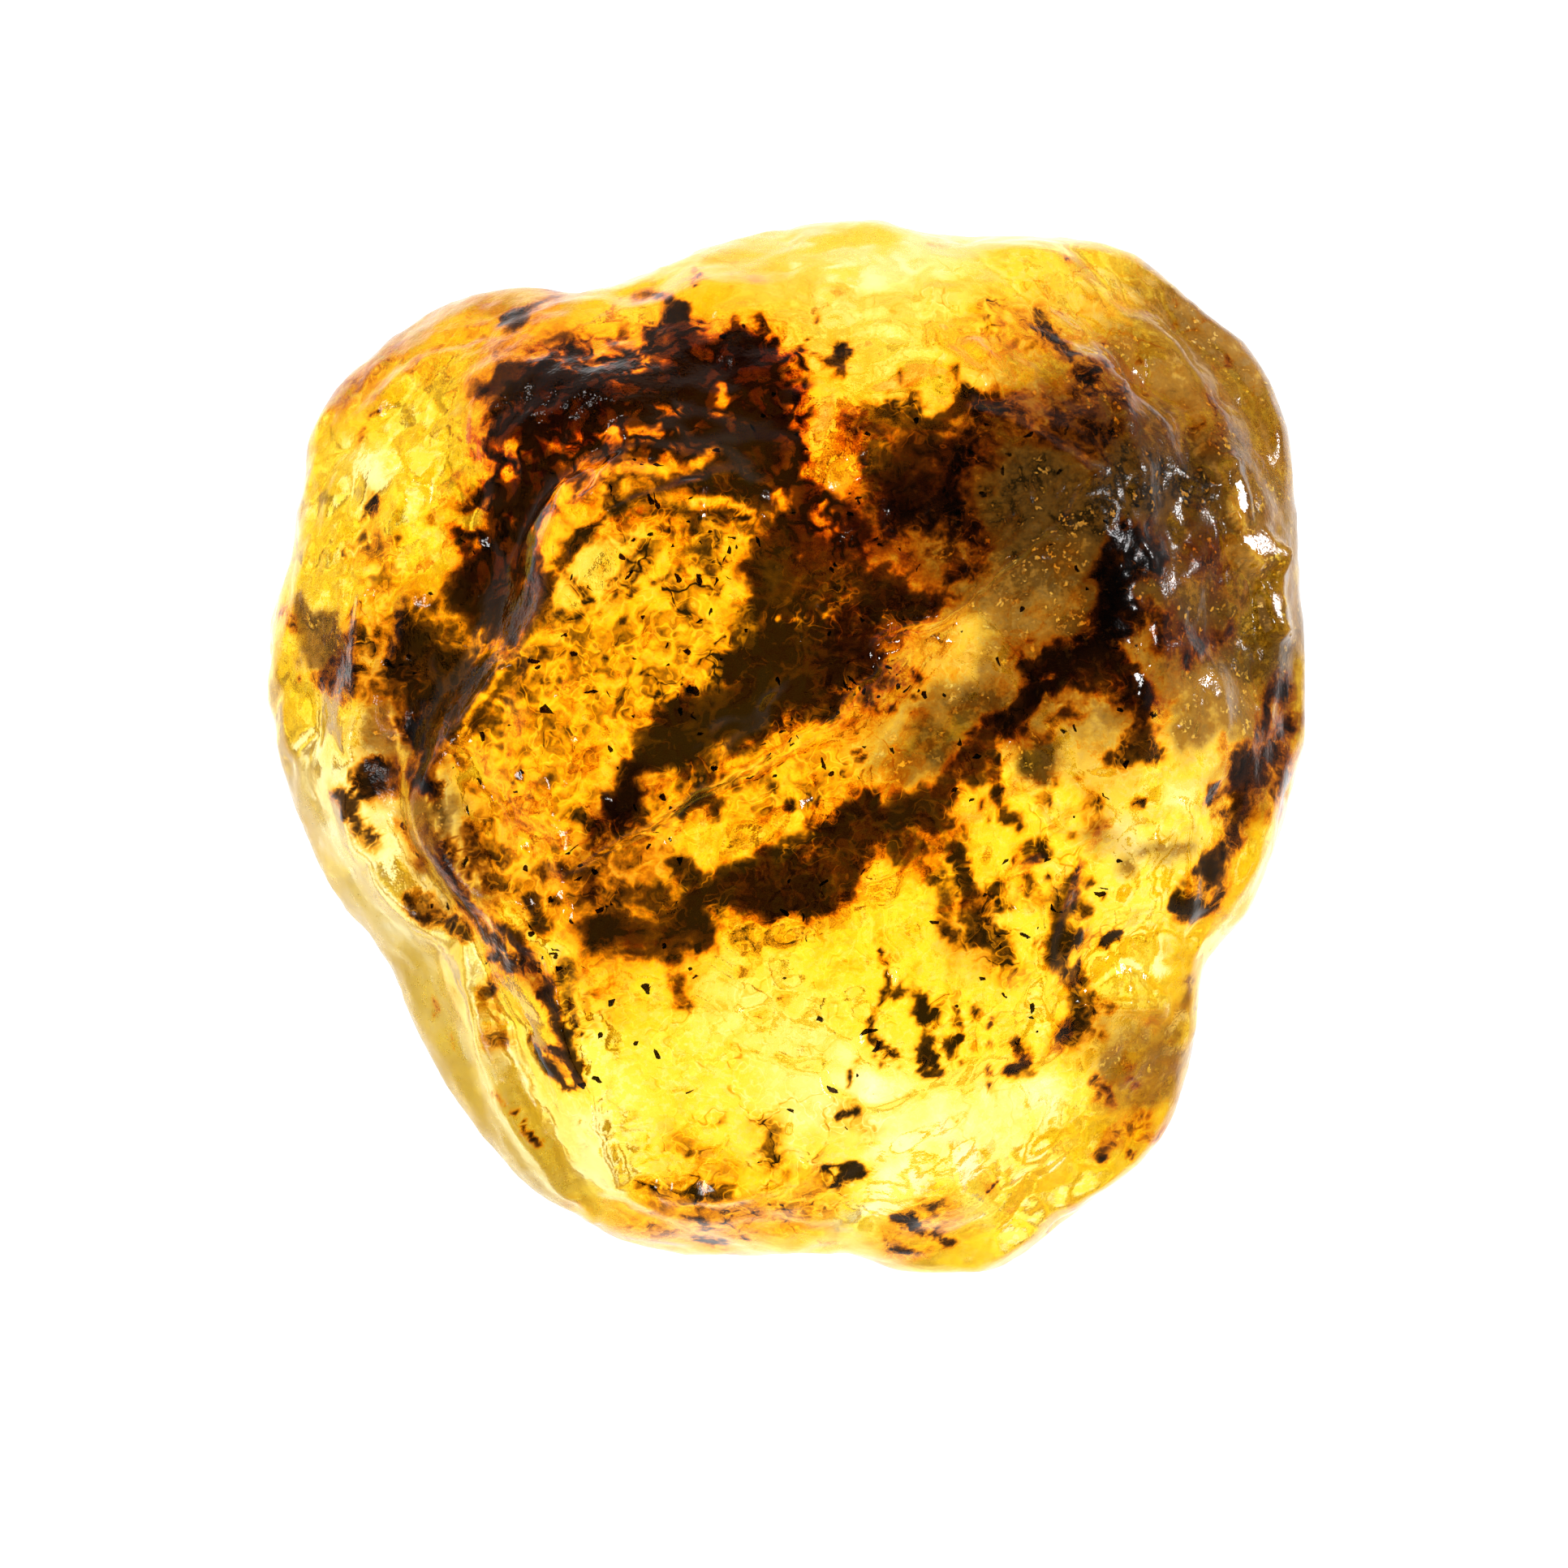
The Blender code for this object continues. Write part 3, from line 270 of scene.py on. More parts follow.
    (0.7, 0.2, 0.08, 3.9, -14.2, 4.2, -15.2, 5.2, -15.3),
    (0.95, 0.6, 0.15, 5, -11.8, 5.6, -11.2, 6, -11.9), (0.95, 0.9, 0.2, 6.2, -12, 6.7, -12.6),
    (0.9, 0.6, 0.2, 7.2, -12.5, 7.4, -13.4, 7.8, -14.4), (0.95, 0.9, 0.2, 6.6, -13.6, 6.4, -14.3),
    (0.95, 0.4, 0.12, 6, -14.8, 7, -14.9), (0.97, 0.7, 0.15, 6.4, -15.5, 7.3, -15.4),
    (0.9, 0.35, 0.12, 8, -12.4, 8.2, -13.6), (0.85, 0.5, 0.15, 8, -13.8),
    (0.78, 0.35, 0.12, 9, -12.6, 9.0, -13), (0.7, 0.5, 0.2, 9.7, -13.3), (0.7, 0.35, 0.15, 9.7, -14.1),
    (0.7, 0.35, 0.12, 8.3, -14.9), (0.9, 0.9, 0.2, 11, -14.2, 11.1, -15),
    (0.97, 0.6, 0.15, 10.6, -15.4, 11.5, -15.6), (0.6, 0.7, 0.25, 9.6, -16.2),
    (0.9, 0.5, 0.15, 9.6, -15.5), (0.45, 0.8, 0.25, 5.8, -10.9), (0.5, 0.4, 0.12, 3.4, -9.4),
    (0.6, 0.4, 0.12, 4.3, -9.3), (0.5, 0.5, 0.15, 11.7, -9.5), (0.55, 0.5, 0.2, 9, -14.2),
    (0.97, 0.4, 0.12, 2.6, -17.5, 3.4, -17.4), (1.0, 0.9, 0.15, 2.9, -20, 3.2, -20.2),
    (0.95, 0.35, 0.12, 1.8, -19.9, 2.6, -19.9), (0.97, 0.35, 0.12, 1.9, -20.8, 2.3, -20.5),
    (0.9, 0.4, 0.12, 7, -23, 8, -23.6), (0.9, 0.45, 0.15, 5.2, -23.6, 6, -23.7),
    (0.85, 0.3, 0.1, 5.2, -22.4, 6.4, -22.9), (0.8, 0.3, 0.1, 6.8, -21.7, 7.3, -21.3),
    (0.9, 0.3, 0.1, 9.9, -20.6), (0.9, 0.25, 0.1, 9.6, -21), (0.6, 0.5, 0.2, 10.8, -21.9),
    (0.8, 0.18, 0.06, 3.3, -15, 2.9, -15.8, 2.7, -16.4), (0.5, 0.5, 0.2, 13.4, -21.6),
    # south-east: the streaks, the chain and the brown patch
    (0.92, 0.9, 0.3, 7.8, -4.8, 8.4, -6.6, 8.9, -8, 9, -9.4),
    (0.65, 1.2, 0.4, 7, -6, 7.6, -8, 8.2, -9.2), (0.7, 0.8, 0.3, 9.2, -7, 9.8, -8.6, 10, -10),
    (0.92, 0.8, 0.2, 9.6, -0.6, 9.9, -2), (0.88, 0.6, 0.2, 10, -2.4, 10.4, -3.4),
    (0.82, 0.4, 0.15, 10.8, -3.8), (0.88, 0.45, 0.15, 9.3, -2.6), (0.82, 0.35, 0.12, 9.5, -3.4),
    (0.88, 1.3, 0.3, 11.4, -4.8), (0.82, 0.7, 0.25, 11.6, -6.3), (0.7, 0.6, 0.2, 10.4, -6.4),
    (0.65, 0.8, 0.3, 10.6, -7.2, 12, -7.1), (0.75, 0.8, 0.25, 12.4, -2.6), (0.65, 0.7, 0.25, 13, -1.8),
    (0.55, 1.0, 0.3, 14.2, -2.4, 14.5, -4), (0.75, 0.6, 0.2, 15.2, -3.8), (0.75, 0.5, 0.2, 14.6, -2.6),
    (0.75, 0.5, 0.2, 14, -1.4), (0.62, 0.6, 0.2, 13.8, -5.8), (0.6, 0.5, 0.2, 14.8, -5.4),
    (0.62, 0.5, 0.2, 12.6, -3.8), (0.6, 0.5, 0.2, 13.4, -4), (0.75, 0.45, 0.15, 14.4, -6.7),
    (0.75, 0.4, 0.15, 12.4, -6.2), (0.75, 0.35, 0.12, 14.8, -7.3), (0.98, 0.7, 0.13, 16.6, -2.7),
    (1.0, 0.7, 0.13, 15.6, -8.9, 15.1, -9.3), (0.82, 1.2, 0.3, 13.3, -6.8, 13.1, -8),
    (0.82, 1.3, 0.3, 13, -8.8, 12.8, -10), (0.78, 1.2, 0.3, 13.4, -10.8, 14, -11.8),
    (0.78, 1.4, 0.35, 13.8, -12.6, 13.6, -13.6), (0.9, 0.5, 0.2, 14, -8), (0.82, 0.5, 0.2, 14.7, -13.7),
    (0.75, 0.8, 0.3, 16.4, -14.8), (0.82, 0.5, 0.2, 16.3, -15.8), (0.7, 0.8, 0.3, 16.9, -13),
    (0.75, 0.9, 0.3, 14.4, -16.2, 15.2, -16.6), (0.7, 0.7, 0.25, 15.4, -12.3),
    (1.0, 0.5, 0.1, 14.9, -19.6), (0.65, 0.9, 0.25, 14.9, -19.4), (0.88, 0.35, 0.12, 16.2, -19.3),
    # windows of clear amber in the dark; some rows among them clear the stain for painted highlights
    (-0.6, 0.6, 0.2, -9.4, 13.1, -7, 13.1, -5, 13.3, -3.6, 13.8),
    (-0.6, 0.5, 0.2, -8.8, 14.5, -8.2, 14.9), (-0.6, 0.4, 0.15, -6.1, 15.3),
    (-0.8, 0.5, 0.15, -3.5, 15.7), (-0.5, 0.4, 0.2, -9.6, 14.2),
    (-0.5, 0.5, 0.2, -3.0, 16.4, -3.0, 17.0), (-0.4, 0.3, 0.15, -5.4, 15.8, -4.6, 16.1),
    (-0.7, 1.1, 0.25, -10.6, 12.1), (-0.6, 0.6, 0.2, -8.9, 12.2), (-0.5, 0.6, 0.2, -7.6, 12.3),
    (-0.6, 0.9, 0.3, -10, 11.0), (-0.7, 0.9, 0.25, -7.6, 20.5), (-0.7, 0.8, 0.25, -8.8, 20.5),
    (-0.7, 0.9, 0.25, -7.1, 18.3), (-0.6, 0.8, 0.25, -11.8, 18.4), (-0.6, 0.8, 0.25, -3.4, 19.9),
    (-0.7, 0.9, 0.25, -15.4, 16.3), (-0.6, 0.6, 0.2, -14.9, 11.2), (-0.6, 0.5, 0.2, -14.8, 9.7),
    (-0.6, 0.5, 0.2, -13, 14.1), (-0.6, 0.6, 0.2, -12.9, 12.8), (-0.6, 0.5, 0.2, -12, 10.0),
    (-0.8, 0.4, 0.12, -4.6, 11.6, -3, 11.6, -1.8, 11.0), (-0.95, 0.9, 0.25, 1.3, 18.3),
    (-0.95, 1.0, 0.25, 1.9, 16.6, 2.1, 15.6, 1.3, 14.5), (-0.75, 0.5, 0.15, 1.2, 13.7, 2, 13.3),
    (-0.85, 0.8, 0.2, 2.3, 12.6, 2.9, 13.4), (-0.7, 0.4, 0.15, 0.9, 13.0),
    (-0.6, 0.35, 0.15, 1.6, 11.6, 1.3, 10.9, 1.9, 10.4, 2.7, 10.5),
    (-0.75, 0.5, 0.15, -0.5, 11.9, -0.2, 11.2), (-0.55, 0.3, 0.12, 0.3, 15.6, 0.4, 14.6),
    (-0.7, 0.6, 0.2, 4.1, 8.8), (-0.7, 0.5, 0.2, 5.1, 8.9), (-0.6, 0.5, 0.2, 5.7, 8.2),
    (-0.5, 0.4, 0.15, 6.1, 7.6), (-0.5, 0.4, 0.15, 3.8, 8.1), (-0.7, 0.4, 0.12, 8.1, 7.5, 8.6, 7.7),
    (-0.6, 0.35, 0.12, -0.6, 6.0), (-0.6, 0.5, 0.15, 0.6, 6.0), (-0.5, 0.3, 0.12, 2.0, 6.3),
    (-0.5, 0.3, 0.12, 0.7, 8.9), (-0.5, 0.3, 0.12, 4.6, 6.4), (-0.7, 0.35, 0.1, 9.4, 8.9, 9.9, 9.3),
    (-0.7, 0.4, 0.1, 10.3, 9.8, 10.8, 10.2), (-0.75, 0.3, 0.1, 12.0, 10.6, 12.7, 11.9),
    (-0.6, 0.35, 0.12, 10.7, 13.8, 10.9, 13.6), (-0.45, 0.8, 0.3, 12, 13.8),
    (-0.45, 0.9, 0.4, 10.2, 12.8), (-0.5, 0.25, 0.1, 16.8, 10.8),
    (-0.6, 0.35, 0.12, 13, 20.2, 14.9, 20.2), (-0.6, 0.4, 0.15, 13.7, 19, 15, 18.6),
    (-0.6, 0.5, 0.2, 15.6, 18.6), (-0.8, 0.7, 0.2, 17.4, 17.6), (-0.6, 0.4, 0.15, 18.4, 18.4),
    (-0.5, 0.4, 0.15, 18, 16.9), (-0.6, 0.6, 0.2, 12.2, 2.2, 12.8, 1.6),
    (-0.7, 0.7, 0.2, 14.8, 1.8, 15.2, 0.8), (-0.6, 0.4, 0.15, 12.4, 3.2), (-0.6, 0.5, 0.15, 14, -0.4),
    (-0.6, 0.5, 0.2, 17.4, 7.0), (-0.5, 0.4, 0.15, 16.2, 5.2), (-0.6, 0.4, 0.15, 17.6, -15.6),
    (-0.6, 0.35, 0.12, 16.6, -16.6), (-0.6, 0.4, 0.15, 18, -14.6), (-0.6, 0.3, 0.1, 17.4, -14.2),
    (-0.6, 0.4, 0.15, 17.6, -17.2), (-0.5, 0.5, 0.2, -18.8, 0.6, -18.2, -0.2),
    (-0.5, 0.4, 0.15, -17.8, -3.4), (-0.5, 0.5, 0.2, -16.8, -6.8), (-0.5, 0.35, 0.12, -21.3, 3.6),
    # The next four rows, at (3.8, -16.2), (11.6, -16.4), (8.2, -19.8) and (5.9, -20.5), clear the stain
    # for painted highlights: the white hot spots in the south.
    (-0.9, 1.2, 0.3, 3.8, -16.2), (-0.9, 1.4, 0.3, 11.6, -16.4),
    (-0.95, 1.0, 0.25, 8.2, -19.8, 8.9, -21.8), (-0.95, 1.2, 0.3, 5.9, -20.5, 4.6, -21.7, 3.4, -22.6),
    (-0.8, 0.6, 0.2, -9.3, -18, -8.8, -20.4), (-0.65, 1.3, 0.4, -16, 13.6, -14.9, 13.0),
    (-0.45, 1.2, 0.4, -16.6, 11.4, -16.4, 9.2), (-0.75, 1.3, 0.35, -2.5, 9.6, -2.3, 7.4),
    (-0.5, 0.9, 0.3, -6.6, 1.8), (-0.4, 0.9, 0.3, -8.6, -1.2), (-0.5, 1.2, 0.4, -10.2, -5.0),
    (-0.6, 1.2, 0.4, 8.2, 1.0), (-0.5, 1.6, 0.5, 3.9, 18.6, 4.6, 19.4),
    (-0.4, 2.4, 0.8, 16.4, -12.8, 16.8, -14.8), (-0.6, 1.4, 0.5, 18, -12), (-0.5, 1.6, 0.5, 12, -20.4),
    (-0.8, 0.5, 0.2, 4.3, -12.7), (-0.8, 0.5, 0.2, 5.2, -15.0), (-0.8, 0.6, 0.2, 7.4, -13.5),
    (-0.7, 0.4, 0.2, 5.7, -11.2), (-0.4, 1.4, 0.5, -14.4, 13.2), (-0.6, 1.4, 0.4, -14, -13),
    (-0.5, 1.2, 0.4, 19.6, -7), (-0.4, 1.2, 0.4, 9.8, 6.8, 12.2, 7.2), (-0.5, 1.0, 0.4, 8, -3.2),
    (-0.4, 1.2, 0.4, -20, -1.2), (-0.4, 1.2, 0.4, -2, -9), (-0.6, 1.0, 0.4, -0.4, 19.4, 0.4, 18.8),
    (-0.5, 1.4, 0.4, -2.4, -8.8, 0.4, -8.9), (-0.4, 1.4, 0.5, -10, -4.8), (-0.4, 1.4, 0.5, -16, -2.8),
    (-0.4, 1.2, 0.4, -4.4, 13.2), (-0.4, 1.2, 0.4, 2, -2.6), (-0.5, 1.4, 0.5, -6.4, 7.2),
    (-0.5, 1.4, 0.5, -12, -1.0), (-0.5, 1.2, 0.4, 0, 19), (-0.4, 1.2, 0.4, -8.4, -3.2),
    (-0.4, 1.2, 0.4, -16.4, -1.0), (-0.6, 1.2, 0.4, -16.2, 9.4), (-0.3, 1.6, 0.6, -12.4, 19.4),
    (-0.45, 1.2, 0.4, 9.6, 7.6), (-0.4, 1.2, 0.4, 12, 5.4, 13.8, 5.6), (-0.4, 1.4, 0.4, 12, 1.0),
    (-0.4, 1.2, 0.4, 17.8, 1.2), (-0.5, 1.2, 0.4, 8, -2.6), (-0.5, 1.2, 0.4, -12.2, -10.8),
    # The rows along the east strip and the three crease lines clear thin pale lines: painted highlights
    # on the ridge crests and the east rim.
    (-0.5, 1.2, 0.4, 7.8, -12.8), (-0.4, 0.5, 0.12, *HIGHLIGHT_STRIP), (-0.5, 0.18, 0.1, *OUTER_CREASE),
    (-0.5, 0.18, 0.1, *INNER_CREASE), (-0.5, 0.2, 0.1, *SLOPE_EDGE),
)
SMOKE_MARKS: tuple[Row, ...] = (
    (0.34, 5.6, 1.8, 13.6, 18.0, 17, 18.6), (0.44, 4.6, 1.5, 15.6, 16.0, 19, 14.6),
    (0.30, 3.2, 1.0, 16, 12.6, 18, 11.4), (0.22, 3.0, 1.0, 19.6, 7.4, 19.4, 5.2),
    (0.52, 4.0, 1.4, 18.5, 21, 21.5, 17.5, 23, 13, 23.4, 8, 23.6, 3),
    (0.84, 5.2, 1.2, 9.8, 13.2, 12.6, 13.8, 16, 12.6), (0.62, 4.0, 1.0, 17.4, 12.0, 15.4, 10.6),
    (0.72, 4.6, 1.2, 11.8, 11.4, 14.6, 10.2, 16, 8.6), (0.68, 6.0, 1.6, 19, 11.5, 20, 8, 19.5, 5),
    (0.66, 3.8, 1.0, 4.0, 10.4, 8, 9.4, 10, 9.8), (0.52, 2.8, 0.8, 12.0, 8.4, 14, 6.6),
    (0.40, 2.0, 0.6, 10.4, 5.2, 10.6, 6.8), (0.35, 3.0, 1.0, 5.8, 13.8, 6.0, 12.0),
    (0.50, 3.2, 0.9, 16, 8.5, 15, 6, 12, 4.6, 9.5, 2, 7.5, 0), (0.50, 2.2, 0.7, 6.8, 1.4, 8.8, 2.6),
    (0.40, 2.0, 0.6, 5.4, -0.6, 7, 0.4), (0.62, 2.0, 0.6, 23.0, 4.9, 21.8, 4.0),
    (0.62, 2.2, 0.6, 23.2, 2.6, 22.6, 0.6, 22.2, -1.6), (0.50, 2.0, 0.5, 21.2, -1.8, 21.4, -3.6),
    (0.42, 2.2, 0.35, 19, 0.6, 20.4, 1.4), (0.50, 2.2, 0.6, 18.8, 13, 20, 11.4),
    (0.42, 2.6, 0.9, -18.8, 4.2, -18.4, 1.4), (0.70, 0.9, 0.25, -23.0, 6.7, -22.6, 5.4, -22.2, 4.2),
    (0.70, 0.9, 0.25, -21.9, 6, -21.6, 4.6, -21.2, 3), (0.66, 0.7, 0.2, -20.9, 5, -20.6, 3.4),
    (0.50, 2.6, 0.5, -18.8, 0.8, -17.8, -2.2, -16.8, -4.5, -15.7, -6.8),
    (0.36, 1.6, 0.4, -17.4, 0.8, -16.6, -2.2, -15.4, -5, -14.4, -7),
    (0.30, 2.2, 0.6, -16.2, -5.6, -15, -7.6), (0.50, 1.2, 0.3, -12.8, -9.6, -11.6, -11.4),
    (0.34, 1.4, 0.4, -21.4, 16.4, -20, 18, -18.4, 19.4, -16, 20.6, -13, 21.2, -10.4, 21.3),
    (0.55, 1.8, 0.5, -7.4, -1.4, -7.6, -2.8, -9, -4.2), (0.40, 1.6, 0.5, -9.6, -4.9, -10.6, -5.8),
    (0.80, 0.8, 0.25, -9.2, -6.4), (0.30, 2.0, 0.7, -8.4, -6.4, -6.6, -5.6),
    (0.78, 1.7, 0.25, 12.2, -0.8, 12.4, -1.3), (0.50, 1.8, 0.45, 14.6, -4.2),
    (0.48, 1.2, 0.3, 17.2, -5, 18.6, -4.8), (0.52, 1.0, 0.25, 16, -6), (0.36, 1.4, 0.45, 9.4, -7.5),
    (0.46, 3.6, 0.7, 15.8, -14, 17.4, -14.4), (0.46, 2.4, 0.5, 15.4, -16.2, 16.8, -16.6),
    (0.24, 2.0, 0.5, 18.2, -13.2, 18.6, -15), (0.50, 0.6, 0.2, 19, -11, 18.7, -12.2),
    (0.35, 2.4, 0.7, -14.2, 8.4), (0.40, 3.4, 0.8, -12.6, 16, -9.4, 16.4),
    (0.40, 2.4, 0.7, -4.6, 18.6, -2, 18.4), (0.30, 2.4, 0.8, 3.6, 0.6, 4.6, -1.4),
    (0.40, 2.0, 0.7, 7.4, 7.5, 8.8, 7.6), (0.22, 2.6, 1.0, 11, 7.6, 12.2, 6.8),
    (0.45, 1.8, 0.6, 3.6, 5.6), (0.52, 3.2, 0.8, 10, 1.4, 13, 1.6, 16, 1.6),
    (0.40, 2.6, 0.8, 15, 5.4, 13, 3.8), (0.34, 1.6, 0.6, 11.6, -0.8),
    (0.24, 3.0, 1.0, 17.8, 4.6, 18, 2.4), (0.36, 2.8, 0.9, -17, -1.4, -15.6, -4.6),
    (0.28, 1.8, 0.6, 7.9, -8.4, 8.4, -10.4), (0.25, 2.4, 0.9, 9.4, 17, 11.6, 17),
    (0.40, 3.0, 1.0, 6.4, 12, 8.4, 12.4), (0.34, 3.0, 0.8, 9.6, 11.6, 10.4, 11.0),
    (0.30, 3.4, 1.2, 5, 4.6, 7.6, 6.4, 9.6, 6.8), (0.16, 6.0, 2.0, 14.4, 15.2, 20, 14.8),
    (0.26, 3.0, 1.0, 18.6, 8.0, 18.4, 6.2), (0.24, 2.6, 0.9, 12.4, 0.2, 14.4, -0.8),
    (0.22, 2.0, 0.8, 15.8, 1.6), (0.36, 3.0, 0.9, 3.2, 4.4, 5, 2.6), (0.30, 1.8, 0.5, 16, -5),
    # The rows along the three crease lines and the east strip clear thin pale lines: painted highlights
    # on the ridge crests and the east rim.
    (0.30, 1.8, 0.6, 10, 3), (-0.6, 0.18, 0.1, *OUTER_CREASE), (-0.6, 0.18, 0.1, *INNER_CREASE),
    (-0.6, 0.2, 0.1, *SLOPE_EDGE), (-0.4, 0.5, 0.12, *HIGHLIGHT_STRIP),
)
CRUST_MARKS: tuple[Row, ...] = (
    (1.0, 3.2, 0.7, -13, 16.2, -9.4, 16.5, -6, 17.2, -2.6, 18.4),
    (0.9, 3.2, 0.7, -19, 1.4, -18.2, -2, -17.2, -4.6, -15.9, -7),
    (0.9, 2.0, 0.5, -15.2, -8, -13.6, -9.5, -12.4, -11),
    (0.9, 2.8, 0.6, -22.4, 6, -21.6, 4, -20.6, 2.4), (0.6, 4.0, 1.2, -16.4, 3.6, -17, 0.6),
    (0.6, 3.0, 1.0, -14.2, 8.4, -13.2, 6), (0.5, 7.0, 1.8, 6.6, 13, 12, 13.6, 15.4, 13.6),
    (0.45, 4.4, 1.3, 4, 9.6, 9, 9), (0.5, 5.0, 1.5, 18.5, 19, 21.6, 15, 22.2, 10),
    (0.5, 4.0, 1.2, 20, 7, 22.4, 2.4, 21.6, -2.6), (0.6, 4.0, 0.9, 16.4, -14.4, 17, -16.2),
    (0.5, 4.0, 1.2, -19.6, 18, -15, 20.2, -11, 20.8), (0.4, 3.0, 1.0, 0, 5, 2, 4),
    (-1.0, 1.8, 0.3, *BREAK_LINE),
)
CRAZE_MARKS: tuple[Row, ...] = (
    (0.9, 8.0, 2.0, -6, 8, -4, 5), (0.8, 9.0, 2.5, 0, 22, 6, 21),
    (0.7, 10.0, 3.0, -2, -14, 5, -17, 9, -12), (0.7, 8.0, 2.0, 15, 20, 20, 16),
    (0.6, 6.0, 1.6, -19, 12, -21, 0), (0.35, 5.0, 1.4, -12, -1, -9, -6),
    (0.6, 6.0, 1.6, 15, -8, 12, -4), (0.7, 6.0, 1.4, -5, -20, 4, -21), (0.7, 4.0, 1.2, 1, -2, 4, 0),
)

# How far the rim is pushed out, every 10 degrees round from the east, in mm
RIM_SWELL: Row = (
    0.40, 0.30, 0.30, 0.45, 0.75, 0.60, 0.10, 0.20, 0.15, -0.6, 0.30, 0.05, 0.45, 0.70, 0.50,
    -0.1, -0.2, -0.15, 0.45, 0.85, 0.90, 0.35, 0.15, 0.25, 0.45, 0.60, 0.65, 0.65, 0.20, 0.30,
    0.10, 0.55, 0.05, 0.40, 0.60, 0.55,
)
EMBER_MARKS: tuple[Row, ...] = (
    (1.0, 5.0, 1.5, -13, 13, -11, 17, -6, 18, -1.5, 18.5), (1.0, 4.0, 1.5, -13.5, 9, -12, 14, -5, 15),
    (0.9, 3.6, 1.2, 0, 18, 0.5, 12, 2, 10.5), (0.5, 1.6, 0.8, 4, 9, 6, 8),
    (0.2, 3.0, 1.0, -20, -1, -17, -5), (0.5, 3.0, 1.0, -9, -9, -4, -10),
)
FROST_MARKS: tuple[Row, ...] = (
    (0.7, 4.6, 1.0, -23, -4, -20.6, -7.6, -18, -10.6, -16.6, -14, -14, -17.6, -11, -21),
    (0.6, 4.0, 1.2, -2, 23.2, 3, 23.6, 8, 23), (0.6, 1.6, 0.4, 18.6, -8.6, 18.4, -11),
    (0.4, 2.4, 0.7, -21.6, 15.6, -19, 18.6, -15.6, 20.6, -11, 21.4),
    (0.25, 4.4, 1.4, 20, 17, 22.4, 12, 22.4, 6, 22, 1), (0.3, 7.0, 2.0, 9, 13, 15, 13, 19, 9),
    (0.6, 2.4, 0.6, -18.6, 0.6, -17.6, -2.4, -16.6, -4.6, -15.2, -7.4),
    (0.5, 3.6, 0.8, 16.4, -14.4, 17, -16.4), (0.5, 2.4, 0.6, -8, -22.6, -2, -23, 3, -23.6, 9, -24),
    (-1.0, 1.8, 0.3, *BREAK_LINE),
)
# Where the amber is palest and loses its yellow. The rows from (3.8, -16.2) to (16.4, -5) are painted
# highlights, the white hot spots in the south and east; the others are pale amber.
PALE_AND_HIGHLIGHT_MARKS: tuple[Row, ...] = (
    (1.0, 1.8, 0.35, 3.8, -16.2), (0.92, 1.1, 0.3, 2.7, -14.5), (1.0, 1.9, 0.35, 11.6, -16.4),
    (1.0, 1.6, 0.3, 8.3, -19.6, 9, -22), (1.0, 1.8, 0.35, 5.9, -20.3, 4.6, -21.6, 3.4, -22.7),
    (0.85, 1.0, 0.3, 12.5, -19.5), (0.85, 1.2, 0.3, 4.5, -19, 7, -18.2), (0.90, 1.6, 0.4, 17, -10),
    (0.85, 1.3, 0.4, 18.6, -2.4), (0.85, 1.2, 0.4, 16.4, -5, 15.8, -3.8),
    (0.95, 1.6, 0.5, -21.6, -5, -19.6, -6.6), (0.90, 1.0, 0.4, -9.3, -18, -8.8, -20.4),
    (0.70, 1.8, 0.5, -20.3, 13.3, -19.6, 12.4), (0.85, 4.0, 1.5, 0, 23, 6, 23.4),
    (0.50, 3.0, 1.0, 2, 19.8, 4.6, 18.6), (0.50, 3.0, 1.0, 9.6, -17.8, 6, -16.6, 1, -16),
    (0.45, 2.6, 1.0, -3, -11.6, 0.8, -13), (0.55, 2.0, 0.6, -8.4, 9.4, -9.4, 8),
    (0.80, 0.9, 0.3, 1.8, 15.6),
    (1.0, 4.2, 1.0, -22.4, -2, -20.4, -7.4, -18, -10.4, -16.4, -14, -13.6, -18, -10.6, -21),
)

# Where the underside is bare, since it is seen through the flank beside it
BARE_MARKS: tuple[Row, ...] = (
    (0.95, 6.0, 2.4, -18.5, -1, -16, -6, -13, -10, -11.5, -14, -8.6, -17.6),
    (0.7, 4.0, 2.0, -16, 12, -17.6, 8), (0.8, 3.0, 1.6, 3.8, -16, 6, -19.6, 9, -19, 11.4, -16),
    (0.7, 4.0, 2.0, 13.6, -9, 16, -4),
)

